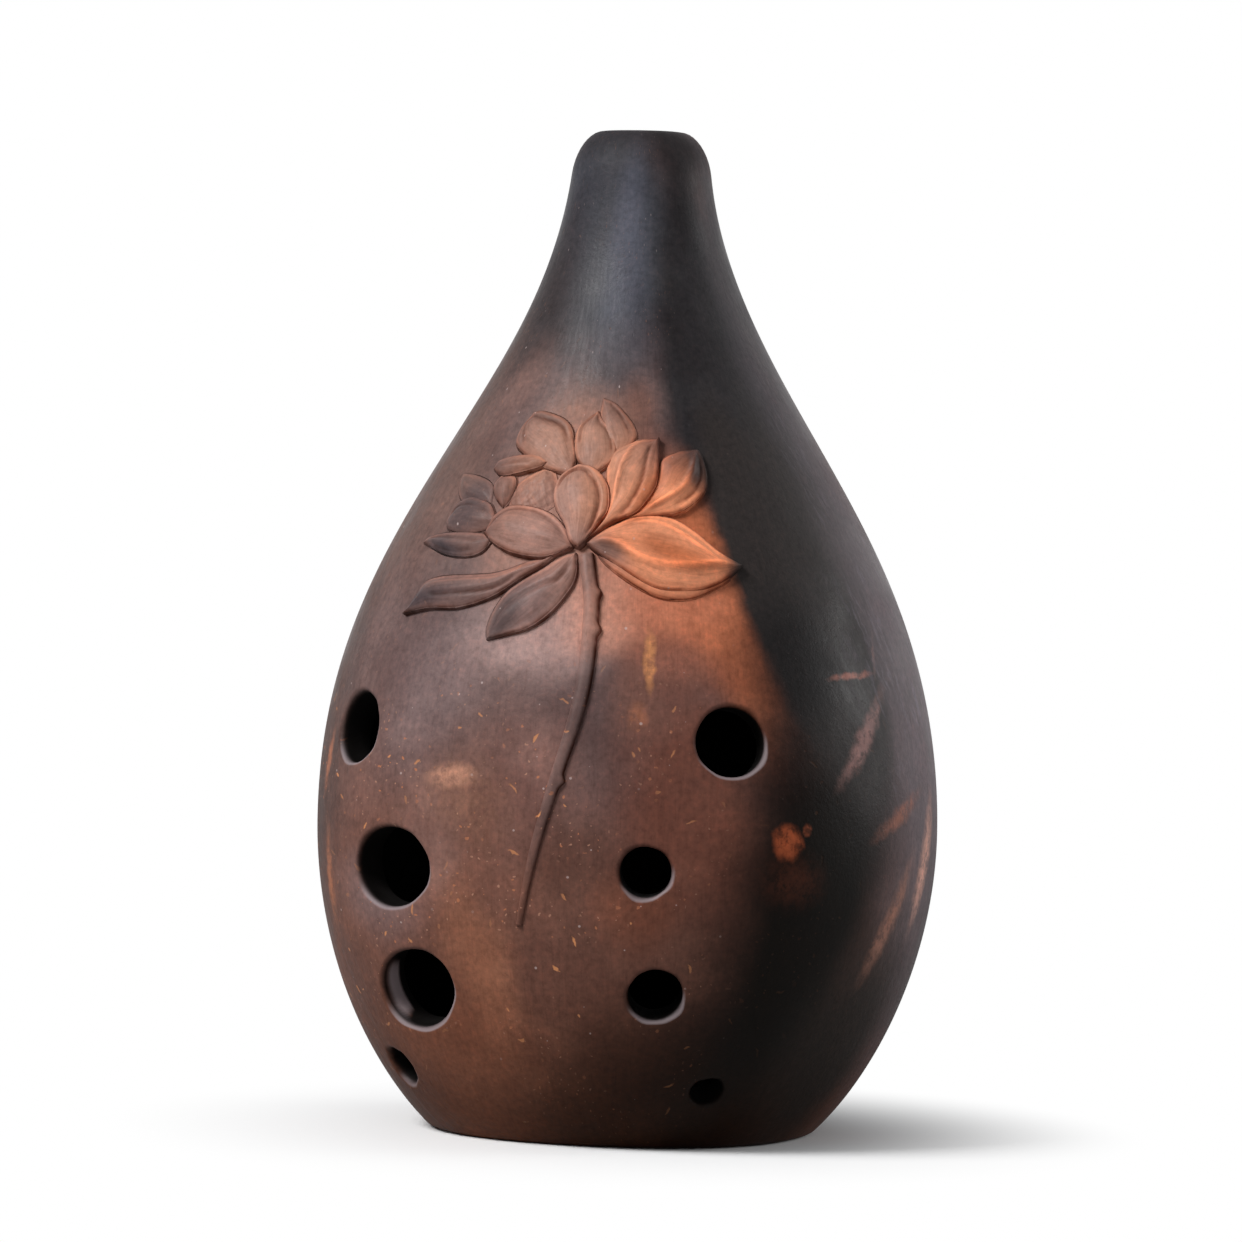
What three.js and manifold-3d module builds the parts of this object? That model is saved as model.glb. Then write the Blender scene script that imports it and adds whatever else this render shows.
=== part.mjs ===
// A ten-hole xun: a hollow pear of burnished, smoke-fired clay with a lotus in relief.
// Millimetres, +Z up. The eight finger holes face -Y, the two thumb holes face +Y,
// and the origin is the middle of the flat base.
import * as THREE from 'three';
import Module from 'manifold-3d';

const wasm = await Module();
wasm.setup();
const { degToRad } = THREE.MathUtils;

// Body, half widths measured across the front
const height = 150;
const footHalfWidth = 28.5;
const footRound = 2.5;
const footAngle = degToRad(45); // the side leaves the base at this slope
const footReach = 16.5; // length of the curve handle that leaves the foot
const bellyHalfWidth = 46.3;
const bellyHeight = 45.5;
const bellyReachDown = 15;
const bellyReachUp = 46;
const neckHalfWidth = 10.4;
const lipHeight = 6.5;
const neckHeight = height - lipHeight;
const neckReach = 35;
const neckLean = degToRad(7); // the neck still closes in by this much
const lipWidth = 4.6;
const depthShare = 0.93; // front to back over side to side
const sectionPower = 2.2; // 2 is an ellipse, more is squarer

// Clay thickness and the joint between the two pressed halves
const wall = 5;
const floorThickness = 5.5;
const slipThickness = 0.8;

// Blow hole, leaned towards the front to leave the sharp edge that the breath strikes
const blowHoleWidth = 9.2;
const blowHoleBevel = 0.7;
const blowHoleBevelDepth = 3;

// Holes: heights of their middles, and sizes round the body and up it
const rimRound = 0.6;
const boreOverrun = 3;
const upperHoleHeight = 60.6;
const upperLeftHoleWidth = 10.6;
const upperRightHoleWidth = 10.2;
const middleLeftHoleHeight = 40.5;
const middleLeftHoleWidth = 15.3;
const middleLeftHoleTall = 11.7;
const middleRightHoleHeight = 41.6;
const middleRightHoleWidth = 7.4;
const lowerLeftHoleHeight = 22.5;
const lowerLeftHoleWidth = 15.6;
const lowerLeftHoleTall = 11.7;
const lowerRightHoleHeight = 23.5;
const lowerRightHoleWidth = 7.9;
const lowestLeftHoleHeight = 10;
const lowestLeftHoleWidth = 6.2;
const lowestRightHoleHeight = 8.9;
const lowestRightHoleWidth = 4.8;
const thumbHoleHeight = 60;
const thumbHoleWidth = 10;

function roundHole(degrees, up, width) {
  return { side: degToRad(degrees), up, width, tall: width, turned: 0 };
}

// The wider axis of an oval hole turns up to the right
function ovalHole(degrees, up, width, tall, turnedDegrees) {
  return { side: degToRad(degrees), up, width, tall, turned: degToRad(turnedDegrees) };
}

const holes = [
  roundHole(-41.5, upperHoleHeight, upperLeftHoleWidth),
  roundHole(41.8, upperHoleHeight, upperRightHoleWidth),
  ovalHole(-28.7, middleLeftHoleHeight, middleLeftHoleWidth, middleLeftHoleTall, 6),
  roundHole(26, middleRightHoleHeight, middleRightHoleWidth),
  ovalHole(-26.4, lowerLeftHoleHeight, lowerLeftHoleWidth, lowerLeftHoleTall, 23),
  roundHole(28.8, lowerRightHoleHeight, lowerRightHoleWidth),
  roundHole(-42.7, lowestLeftHoleHeight, lowestLeftHoleWidth),
  roundHole(43.1, lowestRightHoleHeight, lowestRightHoleWidth),
  roundHole(158, thumbHoleHeight, thumbHoleWidth),
  roundHole(-158, thumbHoleHeight, thumbHoleWidth),
];

// Lotus: laid round the shell from its heart, where petals and stem meet
const heartSide = degToRad(10);
const heartHeight = 88;
const flowerWidth = 52;
const flowerHeight = 36;
const sprigThickness = 1.9;
const sprigEdge = 0.7;
const sprigClearance = 0.3; // between a sprig and the shell or the next sprig
const stemWidth = 2.4;
const stemTipWidth = 0.9;
const stemThickness = 1.3;
const thornReach = 0.9;
const thornLength = 1.4;

// Facets
const shellSegments = 48;
const footSteps = 2;
const lowerSteps = 9;
const upperSteps = 16;
const lipSteps = 4;
const holeSegments = 24;
const petalSteps = 8;
const petalRows = 4;
const stemSteps = 26;

// Each petal runs from its root to its tip, placed in shares of the flower's width and height
// from the heart. Its edges are shares of its own length: how far along, and how far out to the
// left and right of the line from root to tip. Thickness is a share of the thickest sprig.
// The order is from the uppermost petal down: each is cut back by those before it.
const petalShares = {
  petal_centre: {
    root: [-0.01, -0.01], tip: [-0.05, 0.32], thicknessShare: 1,
    left: [[0.08, 0.1], [0.3, 0.17], [0.52, 0.3], [0.72, 0.33], [0.9, 0.24]],
    right: [[0.06, 0.09], [0.23, 0.24], [0.38, 0.39], [0.62, 0.42], [0.8, 0.35], [0.94, 0.2]],
  },
  petal_left_cup: {
    root: [-0.03, -0.01], tip: [-0.31, 0.036], thicknessShare: 1,
    left: [[0.19, 0.11], [0.37, 0.15], [0.62, 0.14], [0.84, 0.08]],
    right: [[0.11, 0.16], [0.32, 0.29], [0.59, 0.33], [0.84, 0.3], [0.98, 0.17]],
  },
  petal_upper_right: {
    root: [0.01, 0.015], tip: [0.225, 0.44], thicknessShare: 0.95,
    left: [[0.17, 0.02], [0.3, 0.06], [0.45, 0.2], [0.61, 0.31], [0.75, 0.26], [0.9, 0.12]],
    right: [[0.11, 0.03], [0.25, 0.08], [0.4, 0.17], [0.55, 0.19], [0.68, 0.18], [0.8, 0.12], [0.94, 0.03]],
  },
  petal_curled: {
    root: [-0.168, 0.33], tip: [-0.37, 0.297], thicknessShare: 0.85,
    left: [[0.16, 0.06], [0.49, 0.1], [0.8, 0.11]],
    right: [[0.12, 0.09], [0.31, 0.14], [0.67, 0.16], [0.95, 0.12]],
  },
  petal_lower_right: {
    root: [0.01, 0.01], tip: [0.426, -0.067], thicknessShare: 0.9,
    left: [[0.07, 0.08], [0.17, 0.15], [0.31, 0.23], [0.44, 0.25], [0.57, 0.24], [0.7, 0.18], [0.85, 0.07]],
    right: [[0.08, 0.05], [0.22, 0.11], [0.36, 0.18], [0.5, 0.23], [0.64, 0.22], [0.78, 0.18], [0.9, 0.1]],
  },
  petal_lower_left_long: {
    root: [-0.073, -0.034], tip: [-0.5, -0.3], thicknessShare: 0.8,
    left: [[0.1, 0.04], [0.24, 0.07], [0.41, 0.11], [0.62, 0.1], [0.82, 0.03]],
    right: [[0.15, 0.02], [0.36, 0.03], [0.5, 0.07], [0.7, 0.14], [0.84, 0.16], [0.93, 0.08]],
  },
  petal_right: {
    root: [0.12, 0.11], tip: [0.353, 0.397], thicknessShare: 0.85,
    left: [[0.24, 0], [0.5, 0.1], [0.63, 0.18], [0.82, 0.12]],
    right: [[0.3, 0.2], [0.42, 0.27], [0.57, 0.3], [0.74, 0.3], [0.87, 0.24], [0.98, 0.09]],
  },
  petal_tongue: {
    root: [-0.28, 0.145], tip: [-0.33, 0.28], thicknessShare: 0.65,
    left: [[0.35, 0.2], [0.8, 0.3]],
    right: [[0.25, 0.33], [0.7, 0.43]],
  },
  seed_pod: {
    root: [-0.142, 0.13], tip: [-0.207, 0.3], thicknessShare: 0.6,
    left: [[0.2, 0.6], [0.67, 0.75], [0.95, 0.5]],
    right: [[0.1, 0.4], [0.62, 0.47], [0.92, 0.35]],
  },
  petal_top: {
    root: [0, 0.284], tip: [-0.013, 0.545], thicknessShare: 0.75,
    left: [[0.2, 0.28], [0.38, 0.4], [0.64, 0.45], [0.81, 0.38], [0.93, 0.18]],
    right: [[0.22, 0.4], [0.45, 0.44], [0.69, 0.33], [0.85, 0.13]],
  },
  petal_lower_left: {
    root: [-0.018, -0.027], tip: [-0.223, -0.384], thicknessShare: 0.85,
    left: [[0.11, 0.13], [0.22, 0.19], [0.4, 0.22], [0.56, 0.22], [0.72, 0.18], [0.88, 0.08]],
    right: [[0.09, 0.07], [0.28, 0.12], [0.45, 0.17], [0.63, 0.2], [0.8, 0.16], [0.94, 0.08]],
  },
  petal_left_lower: {
    root: [-0.282, 0.023], tip: [-0.54, -0.006], thicknessShare: 0.7,
    left: [[0.1, 0.15], [0.32, 0.19], [0.58, 0.15], [0.78, 0.08]],
    right: [[0.15, 0.06], [0.5, 0.09], [0.75, 0.09], [0.93, 0.06]],
  },
  petal_top_left: {
    root: [-0.07, 0.28], tip: [-0.3, 0.538], thicknessShare: 0.65,
    left: [[0.36, 0.18], [0.66, 0.27], [0.88, 0.3], [0.99, 0.17]],
    right: [[0.1, 0.13], [0.26, 0.22], [0.42, 0.28], [0.62, 0.24], [0.89, 0.1]],
  },
  petal_top_back: {
    root: [0.073, 0.351], tip: [-0.003, 0.602], thicknessShare: 0.55,
    left: [[0.4, 0.15], [0.75, 0.12]],
    right: [[0.13, 0.45], [0.31, 0.5], [0.53, 0.42], [0.81, 0.24]],
  },
  petal_left_upper: {
    root: [-0.285, 0.088], tip: [-0.48, 0.08], thicknessShare: 0.6,
    left: [[0.2, 0.13], [0.6, 0.16], [0.9, 0.1]],
    right: [[0.21, 0.25], [0.45, 0.33], [0.71, 0.37], [0.95, 0.24]],
  },
  petal_lower_right_back: {
    root: [0.045, -0.035], tip: [0.39, -0.118], thicknessShare: 0.55,
    left: [[0.5, 0.02]],
    right: [[0.1, 0.07], [0.32, 0.18], [0.52, 0.24], [0.72, 0.21], [0.9, 0.09]],
  },
  petal_left_back: {
    root: [-0.333, 0.162], tip: [-0.518, 0.284], thicknessShare: 0.5,
    left: [[0.44, 0.21], [0.68, 0.22], [0.88, 0.13]],
    right: [[0.24, 0.2], [0.64, 0.14]],
  },
};

// The stem's line and its thorns, in shares of the flower's width and height from the heart
const stemLineShares = [
  [0.013, -0.035], [0.036, -0.2], [0.04, -0.3], [0.037, -0.5], [0.02, -0.68],
  [-0.019, -0.93], [-0.06, -1.2], [-0.1, -1.52],
];
const thornHeightShares = [-0.19, -0.33, -0.93];

// The side of the body as half widths over heights, from the base up to the mouth
const filletReach = footRound * Math.tan(footAngle / 2);
const footArc = new THREE.EllipseCurve(
  footHalfWidth - filletReach, footRound, footRound, footRound, -Math.PI / 2, -Math.PI / 2 + footAngle,
);
const footEnd = footArc.getPoint(1);
const lowerSide = new THREE.CubicBezierCurve(
  footEnd,
  footEnd.clone().add(new THREE.Vector2(Math.cos(footAngle), Math.sin(footAngle)).multiplyScalar(footReach)),
  new THREE.Vector2(bellyHalfWidth, bellyHeight - bellyReachDown),
  new THREE.Vector2(bellyHalfWidth, bellyHeight),
);
const neckEnd = new THREE.Vector2(neckHalfWidth, neckHeight);
const upperSide = new THREE.CubicBezierCurve(
  new THREE.Vector2(bellyHalfWidth, bellyHeight),
  new THREE.Vector2(bellyHalfWidth, bellyHeight + bellyReachUp),
  neckEnd.clone().add(new THREE.Vector2(Math.sin(neckLean), -Math.cos(neckLean)).multiplyScalar(neckReach)),
  neckEnd,
);
const lipArc = new THREE.EllipseCurve(
  neckHalfWidth - lipWidth, neckHeight, lipWidth, height - neckHeight, 0, Math.PI / 2,
);

function sideStations(finer) {
  return [
    ...footArc.getPoints(footSteps * finer),
    ...lowerSide.getPoints(lowerSteps * finer).slice(1),
    ...upperSide.getPoints(upperSteps * finer).slice(1),
    ...lipArc.getPoints(lipSteps * finer).slice(1),
  ];
}
const fineSide = sideStations(8);

// Half width of the body at a height
function halfWidthAt(z) {
  const above = Math.max(1, fineSide.findIndex((point) => point.y >= z));
  const low = fineSide[above - 1];
  const high = fineSide[above];
  return THREE.MathUtils.mapLinear(z, low.y, high.y, low.x, high.x);
}

// Distance from the axis to a level section's rim, at an angle from the front
function sectionRadius(halfWidth, halfDepth, side) {
  const across = Math.abs(Math.sin(side)) / halfWidth;
  const ahead = Math.abs(Math.cos(side)) / halfDepth;
  return (across ** sectionPower + ahead ** sectionPower) ** (-1 / sectionPower);
}

function sectionPoint(halfWidth, halfDepth, side, z) {
  const radius = sectionRadius(halfWidth, halfDepth, side);
  return new THREE.Vector3(radius * Math.sin(side), -radius * Math.cos(side), z);
}

function shellPoint(side, z) {
  const halfWidth = halfWidthAt(z);
  return sectionPoint(halfWidth, halfWidth * depthShare, side, z);
}

// The frame of the shell's outer face at a point: across to the right, up the wall, and outward
function shellFrame(side, z) {
  const smallTurn = degToRad(0.2);
  const smallRise = height * 1e-3;
  const across = shellPoint(side + smallTurn, z).sub(shellPoint(side - smallTurn, z)).normalize();
  const up = shellPoint(side, z + smallRise).sub(shellPoint(side, z - smallRise)).normalize();
  return { across, up, outward: across.clone().cross(up).normalize() };
}

// Joins rings of points, one after another, into a closed skin with a fan at each end
function loft(rings) {
  const count = rings[0].length;
  const points = rings.flat();
  const faces = [];
  for (let level = 0; level < rings.length - 1; level += 1) {
    for (let i = 0; i < count; i += 1) {
      const next = (i + 1) % count;
      const [a, b] = [level * count + i, level * count + next];
      faces.push(a, b, b + count, a, b + count, a + count);
    }
  }
  for (const [level, turn] of [[0, -1], [rings.length - 1, 1]]) {
    const middle = new THREE.Vector3();
    rings[level].forEach((point) => middle.addScaledVector(point, 1 / count));
    points.push(middle);
    for (let i = 0; i < count; i += 1) {
      const edge = [level * count + i, level * count + ((i + 1) % count)];
      faces.push(points.length - 1, ...(turn > 0 ? edge : edge.reverse()));
    }
  }
  return solidOf(points, faces);
}

// A closed solid from points and faces, turned so that the faces point out
function solidOf(points, faces) {
  const build = (triangles) => new wasm.Manifold(new wasm.Mesh({
    numProp: 3,
    vertProperties: new Float32Array(points.flatMap((point) => point.toArray())),
    triVerts: new Uint32Array(triangles),
  }));
  const solid = build(faces);
  return solid.volume() > 0 ? solid : build([...faces].reverse());
}

function solidOfGeometry(geometry) {
  const position = geometry.getAttribute('position');
  const points = [];
  const places = new Map();
  const faces = [];
  for (const vertex of geometry.getIndex().array) {
    const point = new THREE.Vector3().fromBufferAttribute(position, vertex);
    const key = point.toArray().join();
    if (!places.has(key)) {
      places.set(key, points.length);
      points.push(point);
    }
    faces.push(places.get(key));
  }
  return solidOf(points, faces);
}

function geometryOf(solid) {
  const mesh = solid.getMesh();
  const geometry = new THREE.BufferGeometry();
  geometry.setAttribute('position', new THREE.BufferAttribute(mesh.vertProperties, mesh.numProp));
  geometry.setIndex(new THREE.BufferAttribute(mesh.triVerts, 1));
  geometry.computeVertexNormals();
  return geometry;
}

// Turns round a section, counterclockwise from the right as seen from above
function turns(count) {
  return Array.from({ length: count }, (_, i) => (i / count) * 2 * Math.PI);
}

function outerSolid() {
  return loft(sideStations(1).map(
    (station) => turns(shellSegments).map(
      (turn) => sectionPoint(station.x, station.x * depthShare, turn, station.y),
    ),
  ));
}

// The chamber keeps the wall's thickness square to the outer face, down to a flat floor
function chamberSolid() {
  const stations = [];
  for (const [curve, steps] of [[lowerSide, lowerSteps], [upperSide, upperSteps]]) {
    for (let i = 0; i <= steps; i += 1) {
      const point = curve.getPoint(i / steps);
      const run = curve.getTangent(i / steps);
      stations.push({ half: point.x, inset: wall * run.y, z: point.y + wall * run.x });
    }
  }
  const leastRise = wall / 8;
  const clear = stations.filter((station) => station.z > floorThickness + leastRise);
  const rings = [{ ...clear[0], z: floorThickness }, ...clear];
  const distinct = rings.filter((station, i) => i === 0 || station.z - rings[i - 1].z > leastRise);
  return loft(distinct.map(({ half, inset, z }) => turns(shellSegments).map(
    (turn) => sectionPoint(half - inset, half * depthShare - inset, turn, z),
  )));
}

// A hole's bore, square to the wall, with its outer rim rounded over
function boreSolid({ side, up, width, tall, turned }) {
  const frame = shellFrame(side, up);
  const reach = shellPoint(side, up).setZ(0).length();
  const middle = new THREE.Vector2();
  const ring = (grow, depth) => turns(holeSegments).map((turn) => {
    const spot = new THREE.Vector2((width / 2 + grow) * Math.cos(turn), (tall / 2 + grow) * Math.sin(turn));
    spot.rotateAround(middle, turned);
    return shellPoint(side + spot.x / reach, up + spot.y * frame.up.z).addScaledVector(frame.outward, -depth);
  });
  return loft([
    ring(rimRound, -boreOverrun),
    ring(rimRound, 0),
    ring(rimRound * (1 - Math.SQRT1_2), rimRound * (1 - Math.SQRT1_2)),
    ring(0, rimRound),
    ring(0, wall + boreOverrun),
  ]);
}

function blowHoleSolid() {
  const ring = (grow, z) => turns(holeSegments).map((turn) => {
    const half = blowHoleWidth / 2 + grow;
    const point = sectionPoint(half, half * depthShare, turn, z);
    const front = Math.max(0, Math.cos(turn));
    const bevel = Math.max(0, z - height + blowHoleBevelDepth) / blowHoleBevelDepth;
    return point.setY(point.y - blowHoleBevel * front * Math.min(1, bevel));
  });
  return loft([
    ring(0, neckHeight - boreOverrun - wall),
    ring(0, height - blowHoleBevelDepth),
    ring(0, height - rimRound),
    ring(rimRound, height),
    ring(rimRound, height + boreOverrun),
  ]);
}

function slab(yFrom, yTo) {
  const reach = 3 * height;
  const box = new THREE.BoxGeometry(reach, yTo - yFrom, reach);
  box.translate(0, (yFrom + yTo) / 2, 0);
  return solidOfGeometry(box);
}

// The flower's flat drawing laid on the shell, with lift measured square to its face
function flowerPoint(across, up, lift) {
  const heartRadius = shellPoint(heartSide, heartHeight).setZ(0).length();
  const side = heartSide + across / heartRadius;
  const z = heartHeight + up;
  return shellPoint(side, z).addScaledVector(shellFrame(side, z).outward, lift);
}

function flowerPlace([acrossShare, upShare]) {
  return new THREE.Vector2(acrossShare * flowerWidth, upShare * flowerHeight);
}

// The two edges of a petal on the flat drawing, as smooth curves from root to tip
function petalEdges({ root, tip, left, right }) {
  const from = flowerPlace(root);
  const to = flowerPlace(tip);
  const along = to.clone().sub(from);
  const leftward = new THREE.Vector2(-along.y, along.x);
  const place = (far, out) => from.clone().addScaledVector(along, far).addScaledVector(leftward, out);
  const edge = (shares, turn) => new THREE.SplineCurve([
    from,
    ...shares.map(([far, out]) => place(far, turn * out)),
    to,
  ]);
  return [edge(left, 1), edge(right, -1)];
}

// A patch between two edges: a crowned top over a back that follows the shell
function patchSolid(leftAt, rightAt, stations, rows, thicknessAt) {
  const points = [];
  const faces = [];
  const width = rows + 1;
  const layer = stations.length * width;
  for (const top of [false, true]) {
    for (const station of stations) {
      for (let row = 0; row <= rows; row += 1) {
        const spot = leftAt(station).clone().lerp(rightAt(station), row / rows);
        const lift = sprigClearance + (top ? thicknessAt(station, (2 * row) / rows - 1) : 0);
        points.push(flowerPoint(spot.x, spot.y, lift));
      }
    }
  }
  const wallFace = (a, b) => faces.push(a, b, b + layer, a, b + layer, a + layer);
  for (let step = 0; step < stations.length - 1; step += 1) {
    for (let row = 0; row < rows; row += 1) {
      const [a, b] = [step * width + row, step * width + row + 1];
      const cell = [a, b, b + width, a, b + width, a + width];
      faces.push(...cell.map((corner) => layer + corner), ...cell.reverse());
    }
    wallFace(step * width + width, step * width);
    wallFace(step * width + rows, step * width + width + rows);
  }
  for (let row = 0; row < rows; row += 1) {
    wallFace(row, row + 1);
    const end = (stations.length - 1) * width + row;
    wallFace(end + 1, end);
  }
  return solidOf(points, faces);
}

const endShare = 0.03; // root and tip are blunted by this much of the outline

function petalSolid(shares) {
  const [left, right] = petalEdges(shares);
  const crown = sprigThickness * shares.thicknessShare - sprigEdge;
  const stations = Array.from(
    { length: petalSteps + 1 },
    (_, i) => endShare + (1 - 2 * endShare) * (i / petalSteps),
  );
  const thicknessAt = (station, over) => {
    const swell = Math.sqrt(Math.sin(Math.PI * station));
    return sprigEdge + crown * swell * (1 - over ** 2);
  };
  return patchSolid(
    (station) => left.getPoint(station),
    (station) => right.getPoint(station),
    stations, petalRows, thicknessAt,
  );
}

// The room that a petal and its clearance take, through everything under and over it
function petalRoom(shares) {
  const [left, right] = petalEdges(shares);
  const steps = 3 * petalSteps;
  const outline = [];
  for (let i = 0; i < steps; i += 1) outline.push(right.getPoint(i / steps));
  for (let i = steps; i > 0; i -= 1) outline.push(left.getPoint(i / steps));
  const grown = outline.map((point, i) => {
    const before = outline[(i + outline.length - 1) % outline.length];
    const after = outline[(i + 1) % outline.length];
    const run = after.clone().sub(before).normalize();
    return point.clone().add(new THREE.Vector2(run.y, -run.x).multiplyScalar(sprigClearance));
  });
  const cap = THREE.ShapeUtils.triangulateShape(grown, []).flat();
  const count = grown.length;
  const points = [-sprigThickness, 3 * sprigThickness].flatMap(
    (lift) => grown.map((point) => flowerPoint(point.x, point.y, lift)),
  );
  const faces = [...cap].reverse().concat(cap.map((corner) => corner + count));
  for (let i = 0; i < count; i += 1) {
    const next = (i + 1) % count;
    faces.push(i, next, next + count, i, next + count, i + count);
  }
  return solidOf(points, faces);
}

// A tapering half-round stem with small thorns on its right side
function stemSolid() {
  const line = new THREE.SplineCurve(stemLineShares.map(flowerPlace));
  const thorns = thornHeightShares.map((share) => share * flowerHeight);
  const stations = stemStations(line, thorns);
  const taper = (station) => THREE.MathUtils.lerp(stemWidth, stemTipWidth, station ** 1.3) / 2;
  const thorn = (spot) => thorns.reduce(
    (sum, up) => sum + thornReach * Math.exp(-((((spot.y - up) * 2) / thornLength) ** 2)), 0,
  );
  const edgeAt = (turn) => (station) => {
    const spot = line.getPoint(station);
    const run = line.getTangent(station);
    const out = taper(station) + (turn > 0 ? thorn(spot) : 0);
    return spot.add(new THREE.Vector2(-run.y, run.x).multiplyScalar(turn * out));
  };
  const thicknessAt = (station, over) => {
    const crown = stemThickness * (taper(station) / taper(0));
    return crown * (0.35 + 0.65 * Math.sqrt(1 - over ** 2));
  };
  return patchSolid(edgeAt(-1), edgeAt(1), stations, petalRows, thicknessAt);
}

// Stations down the stem, with three more on each thorn
function stemStations(line, thorns) {
  const evenly = (count) => Array.from({ length: count + 1 }, (_, i) => i / count);
  const fine = evenly(40 * stemSteps);
  const miss = (station, up) => Math.abs(line.getPoint(station).y - up);
  const nearest = (up) => fine.reduce(
    (best, station) => (miss(station, up) < miss(best, up) ? station : best),
  );
  const onThorns = thorns.flatMap((up) => [-thornLength, 0, thornLength].map((off) => nearest(up + off / 2)));
  const all = [...evenly(stemSteps), ...onThorns].sort((a, b) => a - b);
  const leastStep = 0.3 / stemSteps;
  return all.filter((station, i) => i === 0 || station - all[i - 1] > leastStep);
}

const clay = new THREE.MeshStandardMaterial({ roughness: 0.55, metalness: 0 });
function clayOf(colour) {
  const material = clay.clone();
  material.color.set(colour);
  return material;
}

const xun = new THREE.Group();
function addPiece(name, solid, colour) {
  const piece = new THREE.Mesh(geometryOf(solid), clayOf(colour));
  piece.name = name;
  xun.add(piece);
}

// Shell: two pressed halves, luted with slip on the plane through the axis
let shell = outerSolid().subtract(chamberSolid()).subtract(blowHoleSolid());
for (const hole of holes) shell = shell.subtract(boreSolid(hole));
const halfSlip = slipThickness / 2;
addPiece('front_shell', shell.intersect(slab(-height, -halfSlip)), '#5a443c');
addPiece('back_shell', shell.intersect(slab(halfSlip, height)), '#3f3735');
addPiece('seam_slip', shell.intersect(slab(-halfSlip, halfSlip)), '#4a3d39');

// Lotus: sprigs pressed on one over another
let taken = null;
function cutBack(solid) {
  const free = taken ? solid.subtract(taken) : solid;
  return free.decompose().reduce((most, piece) => (piece.volume() > most.volume() ? piece : most));
}
for (const [name, shares] of Object.entries(petalShares)) {
  const onRight = shares.tip[0] > 0;
  addPiece(name, cutBack(petalSolid(shares)), onRight ? '#b0623f' : '#84634f');
  const room = petalRoom(shares);
  taken = taken ? taken.add(room) : room;
}
addPiece('stem', cutBack(stemSolid()), '#7a5747');

export default xun;
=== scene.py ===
import math

import bpy
import numpy as np
from mathutils import Matrix, Vector


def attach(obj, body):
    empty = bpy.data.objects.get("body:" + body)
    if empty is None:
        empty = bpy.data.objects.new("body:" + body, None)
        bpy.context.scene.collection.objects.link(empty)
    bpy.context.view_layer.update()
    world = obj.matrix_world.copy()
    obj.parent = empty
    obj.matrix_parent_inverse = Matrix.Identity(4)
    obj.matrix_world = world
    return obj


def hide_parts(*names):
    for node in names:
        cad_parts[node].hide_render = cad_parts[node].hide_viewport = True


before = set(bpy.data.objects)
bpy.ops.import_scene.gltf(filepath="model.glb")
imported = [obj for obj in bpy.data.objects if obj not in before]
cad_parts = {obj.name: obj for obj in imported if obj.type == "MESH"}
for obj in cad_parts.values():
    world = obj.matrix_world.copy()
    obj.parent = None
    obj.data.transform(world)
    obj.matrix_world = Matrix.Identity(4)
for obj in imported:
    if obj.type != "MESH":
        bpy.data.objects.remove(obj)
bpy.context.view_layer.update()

millimetre = 0.001

# The body's sizes in millimetres, as in the model
body = {
    "height": 150, "footHalfWidth": 28.5, "footRound": 2.5, "footAngle": 45, "footReach": 16.5,
    "bellyHalfWidth": 46.3, "bellyHeight": 45.5, "bellyReachDown": 15, "bellyReachUp": 46,
    "neckHalfWidth": 10.4, "lipHeight": 6.5, "lipWidth": 4.6, "neckReach": 35, "neckLean": 7,
    "depthShare": 0.93, "sectionPower": 2.2,
    "wall": 5, "floorThickness": 5.5, "halfSlip": 0.4,
    "mouthWidth": 9.2, "mouthBevel": 0.45, "mouthBevelDepth": 3, "mouthRound": 0.6,
    "unevenness": 0.16,  # how far hand finishing leaves the surface from true
    "unevenFrom": (1, 12), "unevenTo": (130, 146),
    "rowStep": 1.15, "columns": 120, "baseRings": (0, 2, 5, 9, 13, 17, 20.5, 23, 25), "baseRim": 0.9,
    "mouthRings": (1.6, 5, 6.8), "floorRings": (1.2, 3, 6, 11, 16, 20.5), "floorGap": 0.6,
}

# Camera, at the photograph's angle
camera = {
    "distance": 950, "turn": 22.5, "height": 103, "aimHeight": 78, "aimLeft": 1.67, "aimDown": 1.49,
    "roll": 1.26, "lens": 183.0, "sensor": 36, "nearest": 0.01, "farthest": 100,
}


def addCamera():
    turn, roll = math.radians(camera["turn"]), math.radians(camera["roll"])
    distance = camera["distance"]
    place = Vector((distance * math.sin(turn), -distance * math.cos(turn), camera["height"]))
    middle = Vector((0, 0, camera["aimHeight"]))
    ahead = (middle - place).normalized()
    level = ahead.cross(Vector((0, 0, 1))).normalized()
    upright = level.cross(ahead)
    right = level * math.cos(roll) + upright * math.sin(roll)
    up = upright * math.cos(roll) - level * math.sin(roll)
    ahead = (middle - right * camera["aimLeft"] - up * camera["aimDown"] - place).normalized()
    right = ahead.cross(up).normalized()
    eye = bpy.data.objects.new("camera", bpy.data.cameras.new("camera"))
    eye.data.lens = camera["lens"]
    eye.data.sensor_width = camera["sensor"]
    eye.data.clip_start = camera["nearest"]
    eye.data.clip_end = camera["farthest"]
    turned = Matrix((right, right.cross(ahead), -ahead)).transposed().to_4x4()
    eye.matrix_world = Matrix.Translation(place * millimetre) @ turned
    bpy.context.scene.collection.objects.link(eye)
    bpy.context.scene.camera = eye


addCamera()
print("camera set")


# Curves and the body's outer skin
curvePoints = 400


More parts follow.
